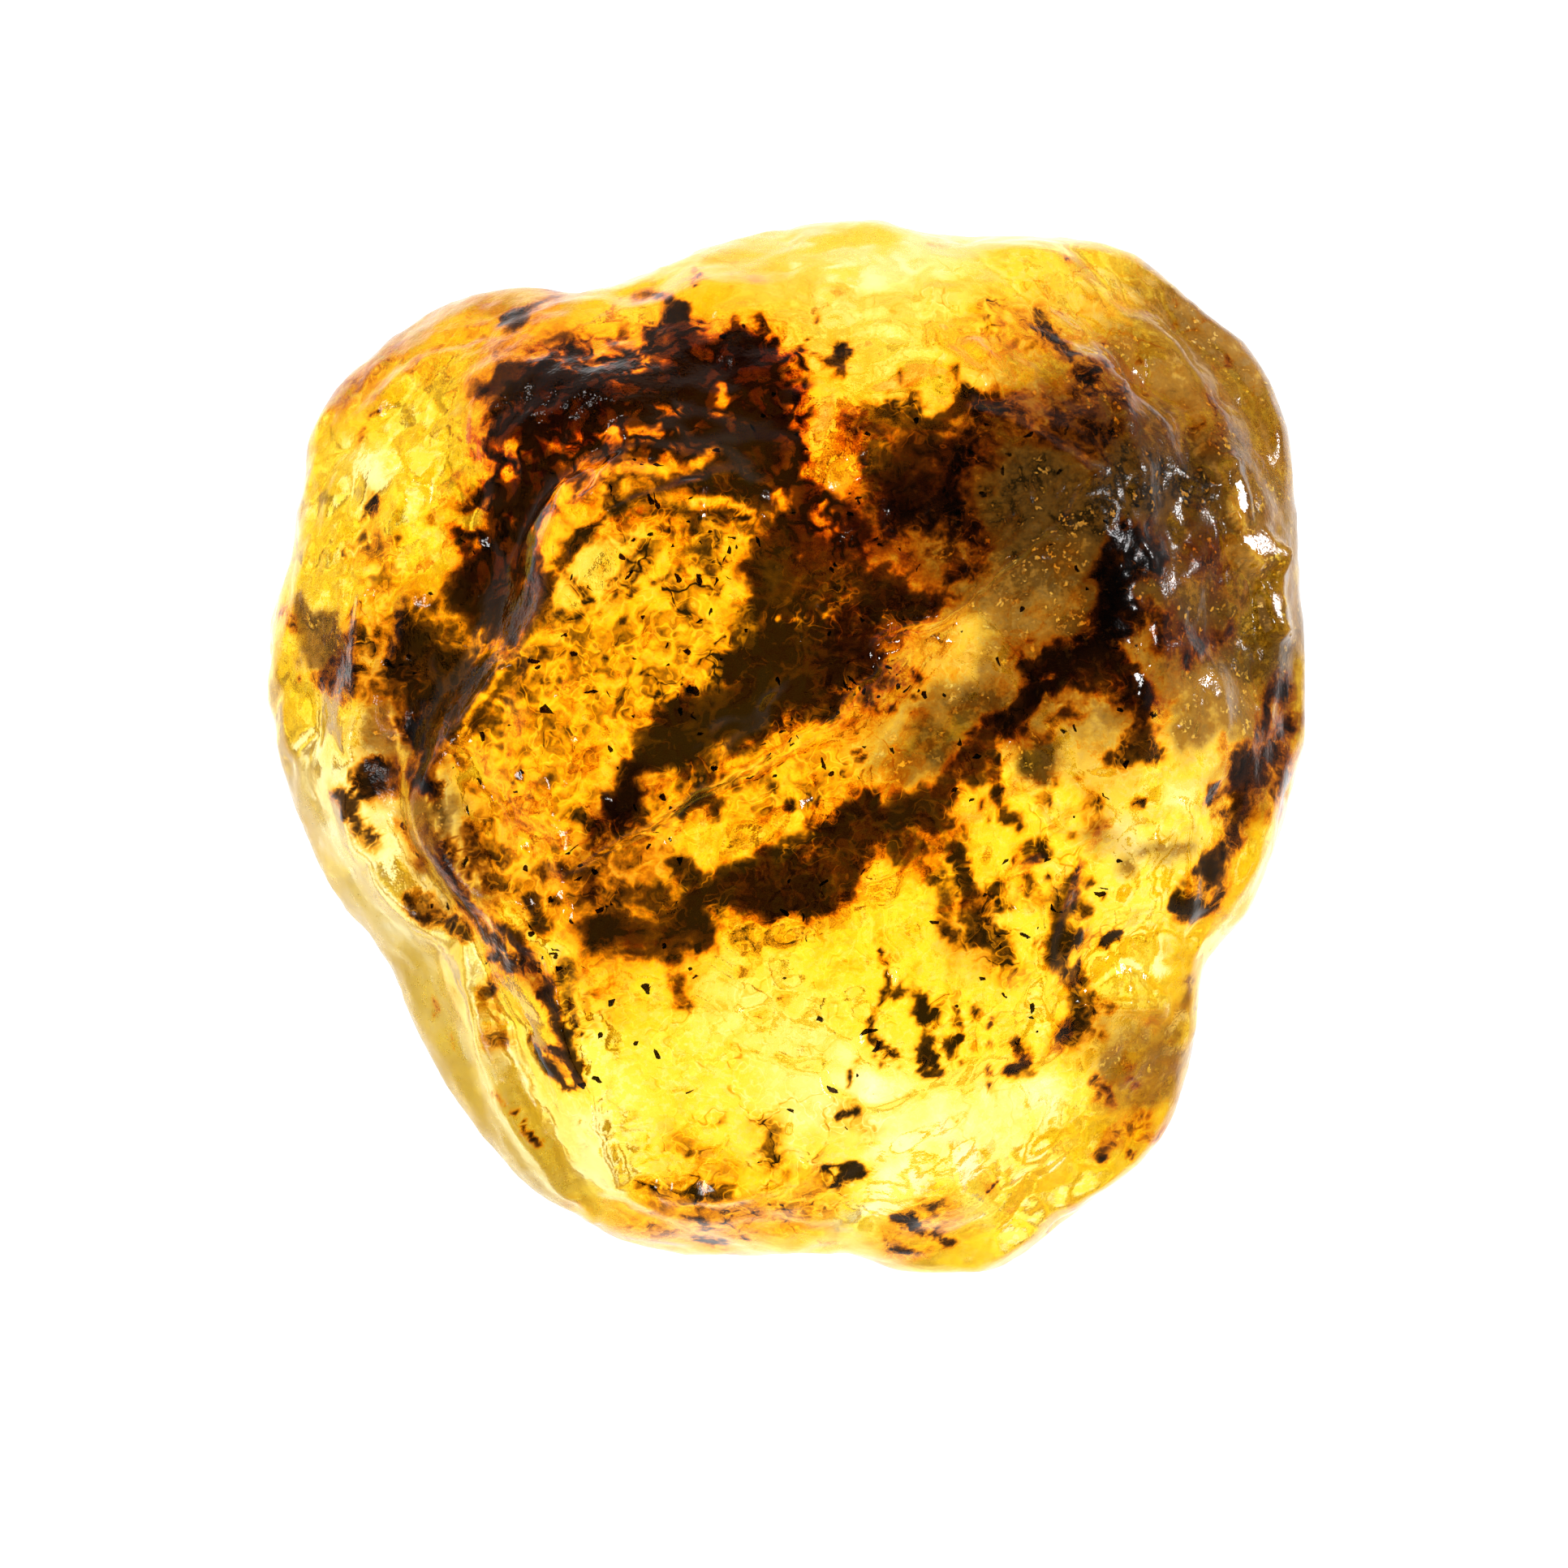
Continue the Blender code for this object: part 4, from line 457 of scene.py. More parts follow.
# Fine relief on the top: height and width, then the x and y of each point, in mm
TOP_RIDGES: tuple[Row, ...] = (
    (0.34, 0.36, -20.2, 7, -20.2, 2, -20.4, 0, -20.2, -2, -19.8, -4, -19, -5, -18, -6.5, -17, -8,
     -15.2, -9, -14.8, -11, -14.3, -13, -13.8, -15, -13, -17, -12, -18.5, -10.5, -20.3, -9, -21.5),
    (0.34, 0.36, *SLOPE_EDGE,
     -12.7, -9, -11, -10, -10.6, -12, -10.3, -14, -9.6, -15.8, -8.8, -18.5, -8, -20.3, -6.5, -21),
    (0.16, 0.26, *OUTER_CREASE),
    (0.16, 0.26, *INNER_CREASE),
    (0.14, 0.4, -12.6, 4.6, -11.2, 7.8, -9.6, 10.1, -7.4, 11.5, -5.2, 12.4, -3, 12.8, -1.4, 12.4),
    (-0.12, 0.4, -11.2, 8.8, -9.6, 10.6, -7.4, 12.1, -5, 13),
    (0.12, 0.3, -6.2, 11, -4.4, 11.5, -2.6, 11.4, -1.6, 10.7),
    (0.45, 0.35, 4.2, 5.6, 5.6, 5.9, 7, 6.2, 8.2, 6.9, 9.2, 7.8, 10.4, 8.9, 11.6, 9.8, 12.6, 11,
     13.4, 12.2, 14.6, 13),
    (-0.35, 0.45, 4.4, 4.9, 6.2, 5.2, 8, 5.9, 9.6, 7.2, 11, 8.5, 12.4, 9.8),
    (0.38, 0.4, -10.8, -5.8, -9.4, -5.0, -7, -3.6, -4.6, -1.9, -2, -0.8, 0.4, 0.6, 2.4, 1.9,
     3.6, 3.6),
    (-0.3, 0.4, -9.6, -6, -7, -4.6, -4.4, -2.9, -1.6, -1.7, 1, -0.3),
    (0.16, 0.3, 8.6, 15.8, 10.2, 15.2, 11.6, 15, 12.8, 14.1, 14.4, 13),
    (0.16, 0.3, 12.8, 20.3, 14.4, 19, 15.4, 17, 15.6, 15),
    (0.40, 0.35, 20.6, 13, 21, 11.8, 21.3, 10.5, 22, 9.7, 22.5, 9, 22.8, 7.6, 23.1, 5.4),
    (-0.16, 0.4, 20.2, 11.6, 21, 9.8, 21.8, 8.6, 22.2, 6.6),
    (0.16, 0.3, -21, 15.6, -18.4, 18, -15.4, 19.2, -12, 19.8, -8.8, 21.2, -6, 22.2),
    (0.14, 0.28, -19.4, 15.8, -16.8, 17.6, -14.4, 18.6),
    (0.26, 0.3, -6.6, -20.4, -4.2, -21, -2, -20.9, 0.6, -20, 2.2, -18.6),
    (0.24, 0.35, 6.8, 22.2, 6.9, 20, 7.6, 18.6, 9, 17.6),
    (0.22, 0.3, 8.6, 19.2, 9.6, 18.4, 10.4, 17.4),
    (0.28, 0.4, 18.6, -3, 18.8, -6, 18.4, -9.4),
    (0.3, 0.4, 13.4, -5.6, 12.6, -8.6, 12, -11.6, 12.6, -14.4),
    (0.24, 0.35, 14.2, -12.4, 15.6, -12.2, 17.4, -12.4),
    (0.24, 0.3, 4, -8.8, 4.6, -11.4, 3.8, -14.2, 4.8, -15.6),
    (0.22, 0.3, 2, -15.8, 3.6, -16.8, 5.4, -16.4),
)

# A flat, bright break on the east rim: the way it faces, then the width and line of each facet
BREAK_FACES = (0.628, 0.216, 0.747)
BREAK_FACETS: tuple[Row, ...] = (
    (0.6, 21.2, 11.2, 20.9, 12.2, 21.6, 10.2),
    (1.2, 22.1, 9.4, 21.7, 9.8, 22.4, 8.8),
    (0.5, 22.5, 7.4, 22.4, 8.2, 22.8, 5.6),
)


def put(name: str, data: Any) -> bpy.types.Object:
    """Makes an object and adds it to the scene."""
    made = bpy.data.objects.new(name, data)
    bpy.context.scene.collection.objects.link(made)
    return made


def smooth(value: np.ndarray, low: float, high: float) -> np.ndarray:
    """Eases from 0 to 1 as a value goes from low to high.

    Args:
        value: the numbers to ease.
        low: where the result is still 0.
        high: where the result reaches 1.

    Returns:
        An array of the same length.
    """
    share = np.clip((value - low) / (high - low), 0.0, 1.0)
    return share * share * (3.0 - 2.0 * share)


def distance(plan: np.ndarray, line: Sequence[float]) -> np.ndarray:
    """Distance in plan from each point to a line.

    Args:
        plan: N by 2 places.
        line: the line's x and y, one after the other; one pair makes a spot.

    Returns:
        N distances.
    """
    points = np.asarray(line, float).reshape(-1, 2)
    best = np.hypot(*(plan - points[0]).T)
    for start, end in zip(points, points[1:]):
        step = end - start
        along = np.clip(((plan - start) @ step) / max(float(step @ step), 1e-9), 0.0, 1.0)
        best = np.minimum(best, np.hypot(*(plan - start - along[:, None] * step).T))
    return best


def wander(points: np.ndarray, wavelength: float, seed: float) -> np.ndarray:
    """A smooth random vector at each point.

    Args:
        points: N by 3 places in mm.
        wavelength: size of the bends in mm.
        seed: offset that makes one field differ from the next.

    Returns:
        N by 3 values, mostly within 1 of zero.
    """
    places = points / wavelength + seed
    return np.array([noise.noise_vector(place) for place in places.tolist()])


def grain(points: np.ndarray, wavelength: float, seed: float, basis: str = "PERLIN_NEW") -> np.ndarray:
    """A smooth random number at each point.

    Args:
        points: N by 3 places in mm.
        wavelength: size of the grain in mm.
        seed: offset that makes one field differ from the next.
        basis: Blender's name for the kind of noise.

    Returns:
        N values.
    """
    places = points / wavelength + seed
    return np.array([noise.noise(place, noise_basis=basis) for place in places.tolist()])


@dataclass
class Skin:
    """The points and faces of the fine skin while it is being worked, in mm."""

    points: np.ndarray
    faces: np.ndarray
    edges: np.ndarray

    def normals(self) -> np.ndarray:
        """Unit normals at the points, from the quads round each."""
        a, b, c, d = (self.points[self.faces[:, i]] for i in range(4))
        flat = np.cross(c - a, d - b)
        total = np.zeros_like(self.points)
        for i in range(4):
            np.add.at(total, self.faces[:, i], flat)
        return total / np.maximum(np.linalg.norm(total, axis=1, keepdims=True), 1e-12)

    def relax(self, rounds: int, share: float = 0.5) -> None:
        """Evens out the points, but leaves those on the rest flat at its height.

        Args:
            rounds: how many times.
            share: how far each point goes towards the middle of its neighbours.
        """
        resting = self.points[:, 2] < 0.02
        count = np.bincount(self.edges.ravel(), minlength=len(self.points))[:, None]
        for _ in range(rounds):
            total = np.zeros_like(self.points)
            np.add.at(total, self.edges[:, 0], self.points[self.edges[:, 1]])
            np.add.at(total, self.edges[:, 1], self.points[self.edges[:, 0]])
            self.points += share * (total / count - self.points)
            self.points[resting, 2] = 0.0

    def plan(self) -> np.ndarray:
        """Where each point is seen in plan by an eye over the lump."""
        eye = np.array(EYE_MM)
        scale = (eye[2] - PLAN_MM) / (eye[2] - self.points[:, 2:])
        return eye[:2] + (self.points[:, :2] - eye[:2]) * scale - np.array(SHIFT_MM)


@dataclass
class Markings:
    """The stains, crust and cracks of the lump, one value for each layer at each point."""

    skin: Skin

    def __post_init__(self) -> None:
        """Works out what every row needs."""
        points = self.skin.points
        self.plan = self.skin.plan()
        self.bend = sum(
            reach * wander(points, size, seed)[:, :2]
            for reach, size, seed in ((0.75, 2.6, 3.1), (0.50, 0.95, 8.7), (0.22, 0.5, 5.9))
        )
        up = self.skin.normals()[:, 2]
        self.top = smooth(up, -0.4, 0.05)
        self.under = 1.0 - smooth(up, -0.9, -0.55)
        self.flat = smooth(np.abs(up), 0.2, 0.6)

    def paint(self, rows: Sequence[Row], raggedness: float, spread: float = 0.0) -> np.ndarray:
        """Lays down rows of marks.

        Args:
            rows: strength, width, softness and a line, for each mark.
            raggedness: how far the edges of a broad mark wander.
            spread: extra softness in mm.

        Returns:
            The layer's value at each point, from 0 to 1.
        """
        value = np.zeros(len(self.plan))
        for strength, width, softness, *line in rows:
            reach = width / 2 + 1.8 * softness + spread + 1.2
            xs, ys = line[0::2], line[1::2]
            near = np.flatnonzero(
                (self.plan[:, 0] > min(xs) - reach) & (self.plan[:, 0] < max(xs) + reach)
                & (self.plan[:, 1] > min(ys) - reach) & (self.plan[:, 1] < max(ys) + reach)
            )
            bent = self.plan[near] + self.bend[near] * raggedness * min(1.0, 0.25 + 0.35 * width)
            gap = distance(bent, line) - width / 2
            soft = softness * min(1.8, 0.8 + 0.45 * width) + spread
            share = 1.0 - smooth(gap, -soft, soft)
            if strength > 0:
                value[near] = 1.0 - (1.0 - value[near]) * (1.0 - strength * share)
            else:
                value[near] *= 1.0 + strength * share
        return value

    def layers(self) -> dict[Layer, np.ndarray]:
        """Every layer's value at each point."""
        wide = tuple(row for row in BURNT_WASHES + BURNT_MARKS if abs(row[1]) > 1.4)
        marks = self.paint(BURNT_WASHES, 1.2)
        crisp = self.paint(BURNT_MARKS, 1.35)
        clear = tuple(row for row in BURNT_MARKS if row[0] < 0)
        for strength, width, softness, *line in clear:
            gap = distance(self.plan + 0.3 * self.bend, line) - width / 2
            marks *= 1.0 + 0.8 * strength * (1.0 - smooth(gap, -softness, softness))
        burnt = 1.0 - (1.0 - marks) * (1.0 - crisp)
        burnt += 0.16 * grain(self.skin.points, 5.2, 4.7) * smooth(burnt, 0.02, 0.3)
        below = self.paint(wide, 1.6, 0.9)
        smoke = self.paint(SMOKE_MARKS, 1.5)
        # Pale amber, with painted highlights at the white hot spots.
        pale_and_highlight = self.top * self.paint(PALE_AND_HIGHLIGHT_MARKS, 0.8)
        bare = self.under * self.paint(BARE_MARKS, 1.0)
        pale_and_highlight += (1.0 - self.top) * np.maximum(self.paint(PALE_AND_HIGHLIGHT_MARKS, 1.2, 1.5), bare)
        marked = self.under * (1.0 - bare)
        tinge = 0.12 * self.flat * (1.0 - pale_and_highlight) * (1.0 - smooth(burnt, 0.0, 0.3))
        return {
            Layer.BURNT: self.top * burnt + marked * 0.5 * below + tinge,
            Layer.SMOKE: self.top * smoke + marked * 0.3 * smoke,
            Layer.CRUST: np.maximum(self.top * self.paint(CRUST_MARKS, 1.0), 0.15 * self.under),
            Layer.CRAZE: (1.0 - pale_and_highlight)
            * np.maximum(self.top * self.paint(CRAZE_MARKS, 1.0), 0.6 * self.under),
            Layer.EMBER: self.paint(EMBER_MARKS, 1.0),
            Layer.FROST: np.maximum(self.top * self.paint(FROST_MARKS, 1.2), 0.25 * self.under),
            Layer.GOLD: (1.0 - pale_and_highlight) * (0.3 + 0.7 * self.flat) * (1.0 - 0.6 * smoke),
        }


@dataclass
class AmberLump:
    """The lump itself, remade with a fine skin over the CAD node's shape."""

    node: str = "amber_piece"
    voxel_mm: float = 0.292
    wrinkle_mm: float = 0.06
    dimple_mm: float = 0.20
    small_dimple_mm: float = 0.08
    wave_mm: float = 0.14
    ripple_mm: float = 0.05
    pit_count: int = 520
    bubble_count: int = 46
    wander_seed: int = 2

    def even_skin(self) -> Skin:
        """Covers the CAD node's shape with small, even quads.

        Returns:
            The new skin.
        """
        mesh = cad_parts[self.node].data.copy()
        lump = put("blank", mesh)
        bm = bmesh.new()
        bm.from_mesh(mesh)
        bmesh.ops.remove_doubles(bm, verts=bm.verts[:], dist=1e-6)
        bmesh.ops.scale(bm, vec=(1 / MM,) * 3, verts=bm.verts[:])
        bm.to_mesh(mesh)
        bm.free()
        remesh = lump.modifiers.new("even", "REMESH")
        remesh.mode = "VOXEL"
        remesh.voxel_size = self.voxel_mm
        graph = bpy.context.evaluated_depsgraph_get()
        fine = bpy.data.meshes.new_from_object(lump.evaluated_get(graph))
        bpy.data.objects.remove(lump)
        points = np.empty(len(fine.vertices) * 3)
        fine.vertices.foreach_get("co", points)
        faces = np.empty(len(fine.loops), np.int32)
        fine.loops.foreach_get("vertex_index", faces)
        edges = np.empty(len(fine.edges) * 2, np.int32)
        fine.edges.foreach_get("vertices", edges)
        assert len(fine.loops) == 4 * len(fine.polygons)
        return Skin(points.reshape(-1, 3), faces.reshape(-1, 4), edges.reshape(-1, 2))

    def carve(self, skin: Skin) -> None:
        """Works the fine relief into the skin: ridges, wrinkles, dimples and pits.

        Args:
            skin: what to carve.
        """
        normals, points = skin.normals(), skin.points
        marks = Markings(skin)
        plan = marks.plan + 0.35 * marks.bend
        crust = marks.paint(CRUST_MARKS, 1.0) * marks.top
        bent = points + 0.6 * wander(points, 1.6, 1.3)
        wrinkle = 1.0 - 2.2 * np.abs(grain(bent * (1.0, 0.55, 1.0), 0.62, 5.5))
        height = self.wrinkle_mm * crust * wrinkle
        dimple, small = grain(bent, 2.3, 4.4, "VORONOI_F1"), grain(bent, 1.0, 9.9, "VORONOI_F1")
        height += self.dimple_mm * (dimple - 0.5) + self.small_dimple_mm * (small - 0.5)
        height += self.wave_mm * grain(points, 1.7, 2.2) + self.ripple_mm * grain(points, 0.7, 7.1)
        height -= self.pits(skin)
        height *= 1.0 - marks.top * (1.0 - smooth(normals[:, 2], 0.55, 0.9)) * 0.55
        for tall, width, *line in TOP_RIDGES:
            height += marks.top * tall * np.exp(-((distance(plan, line) / width) ** 2))
        resting = points[:, 2] < 0.05
        bearing = np.degrees(np.arctan2(points[:, 1], points[:, 0])) % 360
        swell = np.interp(bearing, np.arange(37) * 10.0, RIM_SWELL + RIM_SWELL[:1])
        height += (swell + 0.12) * (1.0 - smooth(np.abs(normals[:, 2]), 0.45, 0.85))
        skin.points = points + normals * height[:, None]
        faces = np.array(BREAK_FACES)
        for width, *line in BREAK_FACETS:
            share = marks.top * (1.0 - smooth(distance(plan, line[2:]), width / 2, width / 2 + 0.2))
            middle = skin.points[np.argmin(distance(plan, line[:2]) + 9.0 * (1.0 - marks.top))]
            skin.points -= (share * ((skin.points - middle) @ faces))[:, None] * faces
        skin.points[resting] = points[resting]
        low, high = (np.array(corner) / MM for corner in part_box(self.node))
        skin.points = np.clip(skin.points, low, high)

    def pits(self, skin: Skin) -> np.ndarray:
        """Depth of the small round pits.

        Args:
            skin: what they are in.

        Returns:
            The depth at each point, in mm.
        """
        chance = np.random.default_rng(41)
        tree = kdtree.KDTree(len(skin.points))
        for i, point in enumerate(skin.points.tolist()):
            tree.insert(point, i)
        tree.balance()
        depth = np.zeros(len(skin.points))
        for start in chance.integers(0, len(skin.points), self.pit_count):
            radius = chance.uniform(0.35, 0.95)
            deep = radius * chance.uniform(0.12, 0.34)
            for _, i, gap in tree.find_range(skin.points[start].tolist(), radius * 1.6):
                depth[i] += deep * np.exp(-((gap / radius) ** 2) * 2.4)
        return depth

    def bubbles(self, skin: Skin) -> tuple[np.ndarray, np.ndarray]:
        """Gas bubbles: round hollows under the skin, whose faces point out of the amber.

        Args:
            skin: what they are under.

        Returns:
            Their points and their triangles.
        """
        chance = np.random.default_rng(7)
        normals = skin.normals()
        ball = bmesh.new()
        bmesh.ops.create_icosphere(ball, subdivisions=2, radius=1.0)
        shell = np.array([v.co[:] for v in ball.verts])
        inward = np.array([[v.index for v in reversed(f.verts)] for f in ball.faces])
        ball.free()
        points, faces = [], []
        for _ in range(self.bubble_count):
            at = int(chance.integers(0, len(skin.points)))
            radius = float(chance.uniform(0.1, 0.36))
            centre = skin.points[at] - normals[at] * (radius + chance.uniform(1.0, 4.5))
            if centre[2] < 3.0 or np.hypot(centre[0], centre[1]) > 19.0:
                continue
            faces.append(inward + len(points) * len(shell))
            points.append(centre + shell * radius * (1.0, 1.0, chance.uniform(0.7, 1.0)))
        return np.concatenate(points), np.concatenate(faces)

    def fleck_weight(self) -> np.ndarray:
        """How thickly bark flecks lie under each point: along the edges of the burnt stain."""
        burnt = self.layers[Layer.BURNT]
        edge = smooth(burnt, 0.12, 0.4) * (1.0 - 0.7 * smooth(burnt, 0.8, 1.0))
        clear = 0.08
        top = smooth(self.skin.normals()[:, 2], 0.45, 0.7)
        inside = 1.0 - smooth(np.hypot(*self.skin.points[:, :2].T), 18.0, 21.0)
        return (edge + clear) * top * inside

    def build(self, finish: "AmberFinish") -> bpy.types.Object:
        """Makes the lump.

        Args:
            finish: what it is made of.

        Returns:
            The finished piece.
        """
        noise.seed_set(self.wander_seed)
        skin = self.even_skin()
        skin.relax(10)
        self.carve(skin)
        skin.relax(1, 0.35)
        layers = Markings(skin).layers()
        self.skin, self.layers = skin, layers
        round_points, round_faces = self.bubbles(skin)
        mesh = bpy.data.meshes.new("amber_lump")
        points = np.concatenate([skin.points, round_points]) * MM
        count = len(skin.points)
        loops = np.concatenate([skin.faces.ravel(), (round_faces + count).ravel()]).astype(np.int32)
        sizes = np.concatenate([np.full(len(skin.faces), 4), np.full(len(round_faces), 3)])
        mesh.vertices.add(len(points))
        mesh.vertices.foreach_set("co", points.ravel())
        mesh.loops.add(len(loops))
        mesh.loops.foreach_set("vertex_index", loops)
        mesh.polygons.add(len(sizes))
        mesh.polygons.foreach_set("loop_start", np.concatenate([[0], np.cumsum(sizes)[:-1]]))
        for layer, value in layers.items():
            stored = mesh.attributes.new(layer.value, "FLOAT", "POINT")
            padded = np.concatenate([value, np.zeros(len(round_points))])
            stored.data.foreach_set("value", padded.astype(np.float32))
        mesh.update(calc_edges=True)
        mesh.validate()
        mesh.shade_smooth()
        mesh.materials.append(finish.material())
        lump = put("amber_lump", mesh)
        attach(lump, "root")
        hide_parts(self.node)
        return lump


class Graph:
    """Adds nodes to a tree, with each input given as a number, a colour or another node's output."""

    def __init__(self, tree: bpy.types.NodeTree) -> None:
        """Works on one tree."""
        self.tree = tree

    def add(self, kind: str, inputs: dict[Any, Any] | None = None, **options: Any) -> bpy.types.Node:
        """Adds a node.

        Args:
            kind: the node's type.
            inputs: what each input holds or is fed by, by name or number.
            options: the node's own settings.

        Returns:
            The node.
        """
        node = self.tree.nodes.new(kind)
        for name, value in options.items():
            setattr(node, name, value)
        self.feed(node, inputs or {})
        return node

    def feed(self, node: bpy.types.Node, inputs: dict[Any, Any]) -> None:
        """Sets a node's inputs, each to a constant or to another node's output."""
        for name, value in inputs.items():
            socket = node.inputs[name]
            if isinstance(value, bpy.types.NodeSocket):
                self.tree.links.new(value, socket)
            else:
                socket.default_value = value

    def weathered(self, scale: float) -> Any:
        """The outputs of the weathering group in the object's own coordinates.

        Args:
            scale: patches a metre.
        """
        place = self.add("ShaderNodeTexCoord").outputs["Object"]
        inputs = {"Place": place, "Scale": scale}
        return self.add("ShaderNodeGroup", inputs, node_tree=weathering()).outputs

    def math(self, operation: str, a: Any, b: Any = 0.0, c: Any = 0.0) -> bpy.types.NodeSocket:
        """The result of a sum on up to three numbers."""
        node = self.add("ShaderNodeMath", {0: a, 1: b, 2: c}, operation=operation)
        return node.outputs[0]

    def ease(self, value: Any, low: float, high: float, bottom: float = 0.0, top: float = 1.0) -> Any:
        """Eases from bottom to top as a value goes from low to high."""
        node = self.add("ShaderNodeMapRange", {
            "Value": value, "From Min": low, "From Max": high, "To Min": bottom, "To Max": top,
        }, interpolation_type="SMOOTHSTEP")
        return node.outputs["Result"]

    def ramp(self, value: Any, stops: Sequence[tuple[float, Colour]]) -> bpy.types.NodeSocket:
        """A colour that follows a value.

        Args:
            value: from 0 to 1.
            stops: place and colour of each stop.

        Returns:
            The colour.
        """
        node = self.add("ShaderNodeValToRGB", {"Fac": value})
        elements = node.color_ramp.elements
        while len(elements) > 1:
            elements.remove(elements[-1])
        elements[0].position, elements[0].color = stops[0][0], (*stops[0][1], 1.0)
        for place, colour in stops[1:]:
            elements.new(place).color = (*colour, 1.0)
        return node.outputs["Color"]

    def mix(self, kind: str, share: Any, a: Any, b: Any) -> bpy.types.NodeSocket:
        """Mixes two colours."""
        inputs = {0: share, 6: a, 7: b}
        return self.add("ShaderNodeMix", inputs, data_type="RGBA", blend_type=kind).outputs[2]

    def scaled(self, vector: Any, by: Any) -> bpy.types.NodeSocket:
        """A vector made longer or shorter."""
        node = self.add("ShaderNodeVectorMath", {0: vector, "Scale": by}, operation="SCALE")
        return node.outputs["Vector"]


def weathering() -> bpy.types.NodeTree:
    """The shared pattern of weathered surfaces, built once.

    Returns:
        A group that takes a Place and a Scale, in patches a metre, and gives Mottle, Fine, Veins,
        Web, Cracks and Halo, each from 0 to 1.
    """
    if "weathering" in bpy.data.node_groups:
        return bpy.data.node_groups["weathering"]
    tree = bpy.data.node_groups.new("weathering", "ShaderNodeTree")
    tree.interface.new_socket("Place", in_out="INPUT", socket_type="NodeSocketVector")
    tree.interface.new_socket("Scale", in_out="INPUT", socket_type="NodeSocketFloat")
    graph = Graph(tree)
    given = graph.add("NodeGroupInput").outputs
    place, scale = given["Place"], given["Scale"]
    bend = graph.add("ShaderNodeTexNoise", {
        "Vector": place, "Scale": graph.math("MULTIPLY", scale, 1.1), "Detail": 2.0, "Roughness": 0.65,
    }).outputs["Color"]
    bend = graph.scaled(bend, graph.math("DIVIDE", 1.5, scale))
    bent = graph.add("ShaderNodeVectorMath", {0: place, 1: bend}, operation="ADD").outputs["Vector"]
    made = {
        "Mottle": graph.add("ShaderNodeTexNoise", {
            "Vector": bent, "Scale": scale, "Detail": 4.0, "Roughness": 0.6,
        }).outputs["Fac"],
        "Fine": graph.add("ShaderNodeTexNoise", {
            "Vector": place, "Scale": graph.math("MULTIPLY", scale, 5.0), "Detail": 2.5,
            "Roughness": 0.65,
        }).outputs["Fac"],
    }
    veins = graph.add("ShaderNodeTexNoise", {
        "Vector": bent, "Scale": graph.math("MULTIPLY", scale, 2.3), "Detail": 1.0,
    }).outputs["Fac"]
    veins = graph.math("ABSOLUTE", graph.math("SUBTRACT", veins, 0.5))
    made["Veins"] = graph.ease(veins, 0.012, 0.045, 1.0, 0.0)
    for share, rims in ((1.25, {"Web": 0.22}), (0.7, {"Cracks": 0.035, "Halo": 0.3})):
        cells = graph.add("ShaderNodeTexVoronoi", {
            "Vector": bent, "Scale": graph.math("MULTIPLY", scale, share),
        }, feature="DISTANCE_TO_EDGE").outputs["Distance"]
        for name, width in rims.items():
            made[name] = graph.ease(cells, 0.0, width, 1.0, 0.0)
    for name in made:
        tree.interface.new_socket(name, in_out="OUTPUT", socket_type="NodeSocketFloat")
    graph.add("NodeGroupOutput", made)
    return tree


def blank(name: str) -> tuple[bpy.types.Material, bpy.types.Node, Graph]:
    """A new material, its shader and a graph that adds to it."""
    material = bpy.data.materials.new(name)
    material.use_nodes = True
    return material, material.node_tree.nodes["Principled BSDF"], Graph(material.node_tree)


def seen_through(colour: Colour) -> Colour:
    """The base colour that tints light by this colour when it passes one face of clear resin."""
    return tuple(channel * channel for channel in colour)


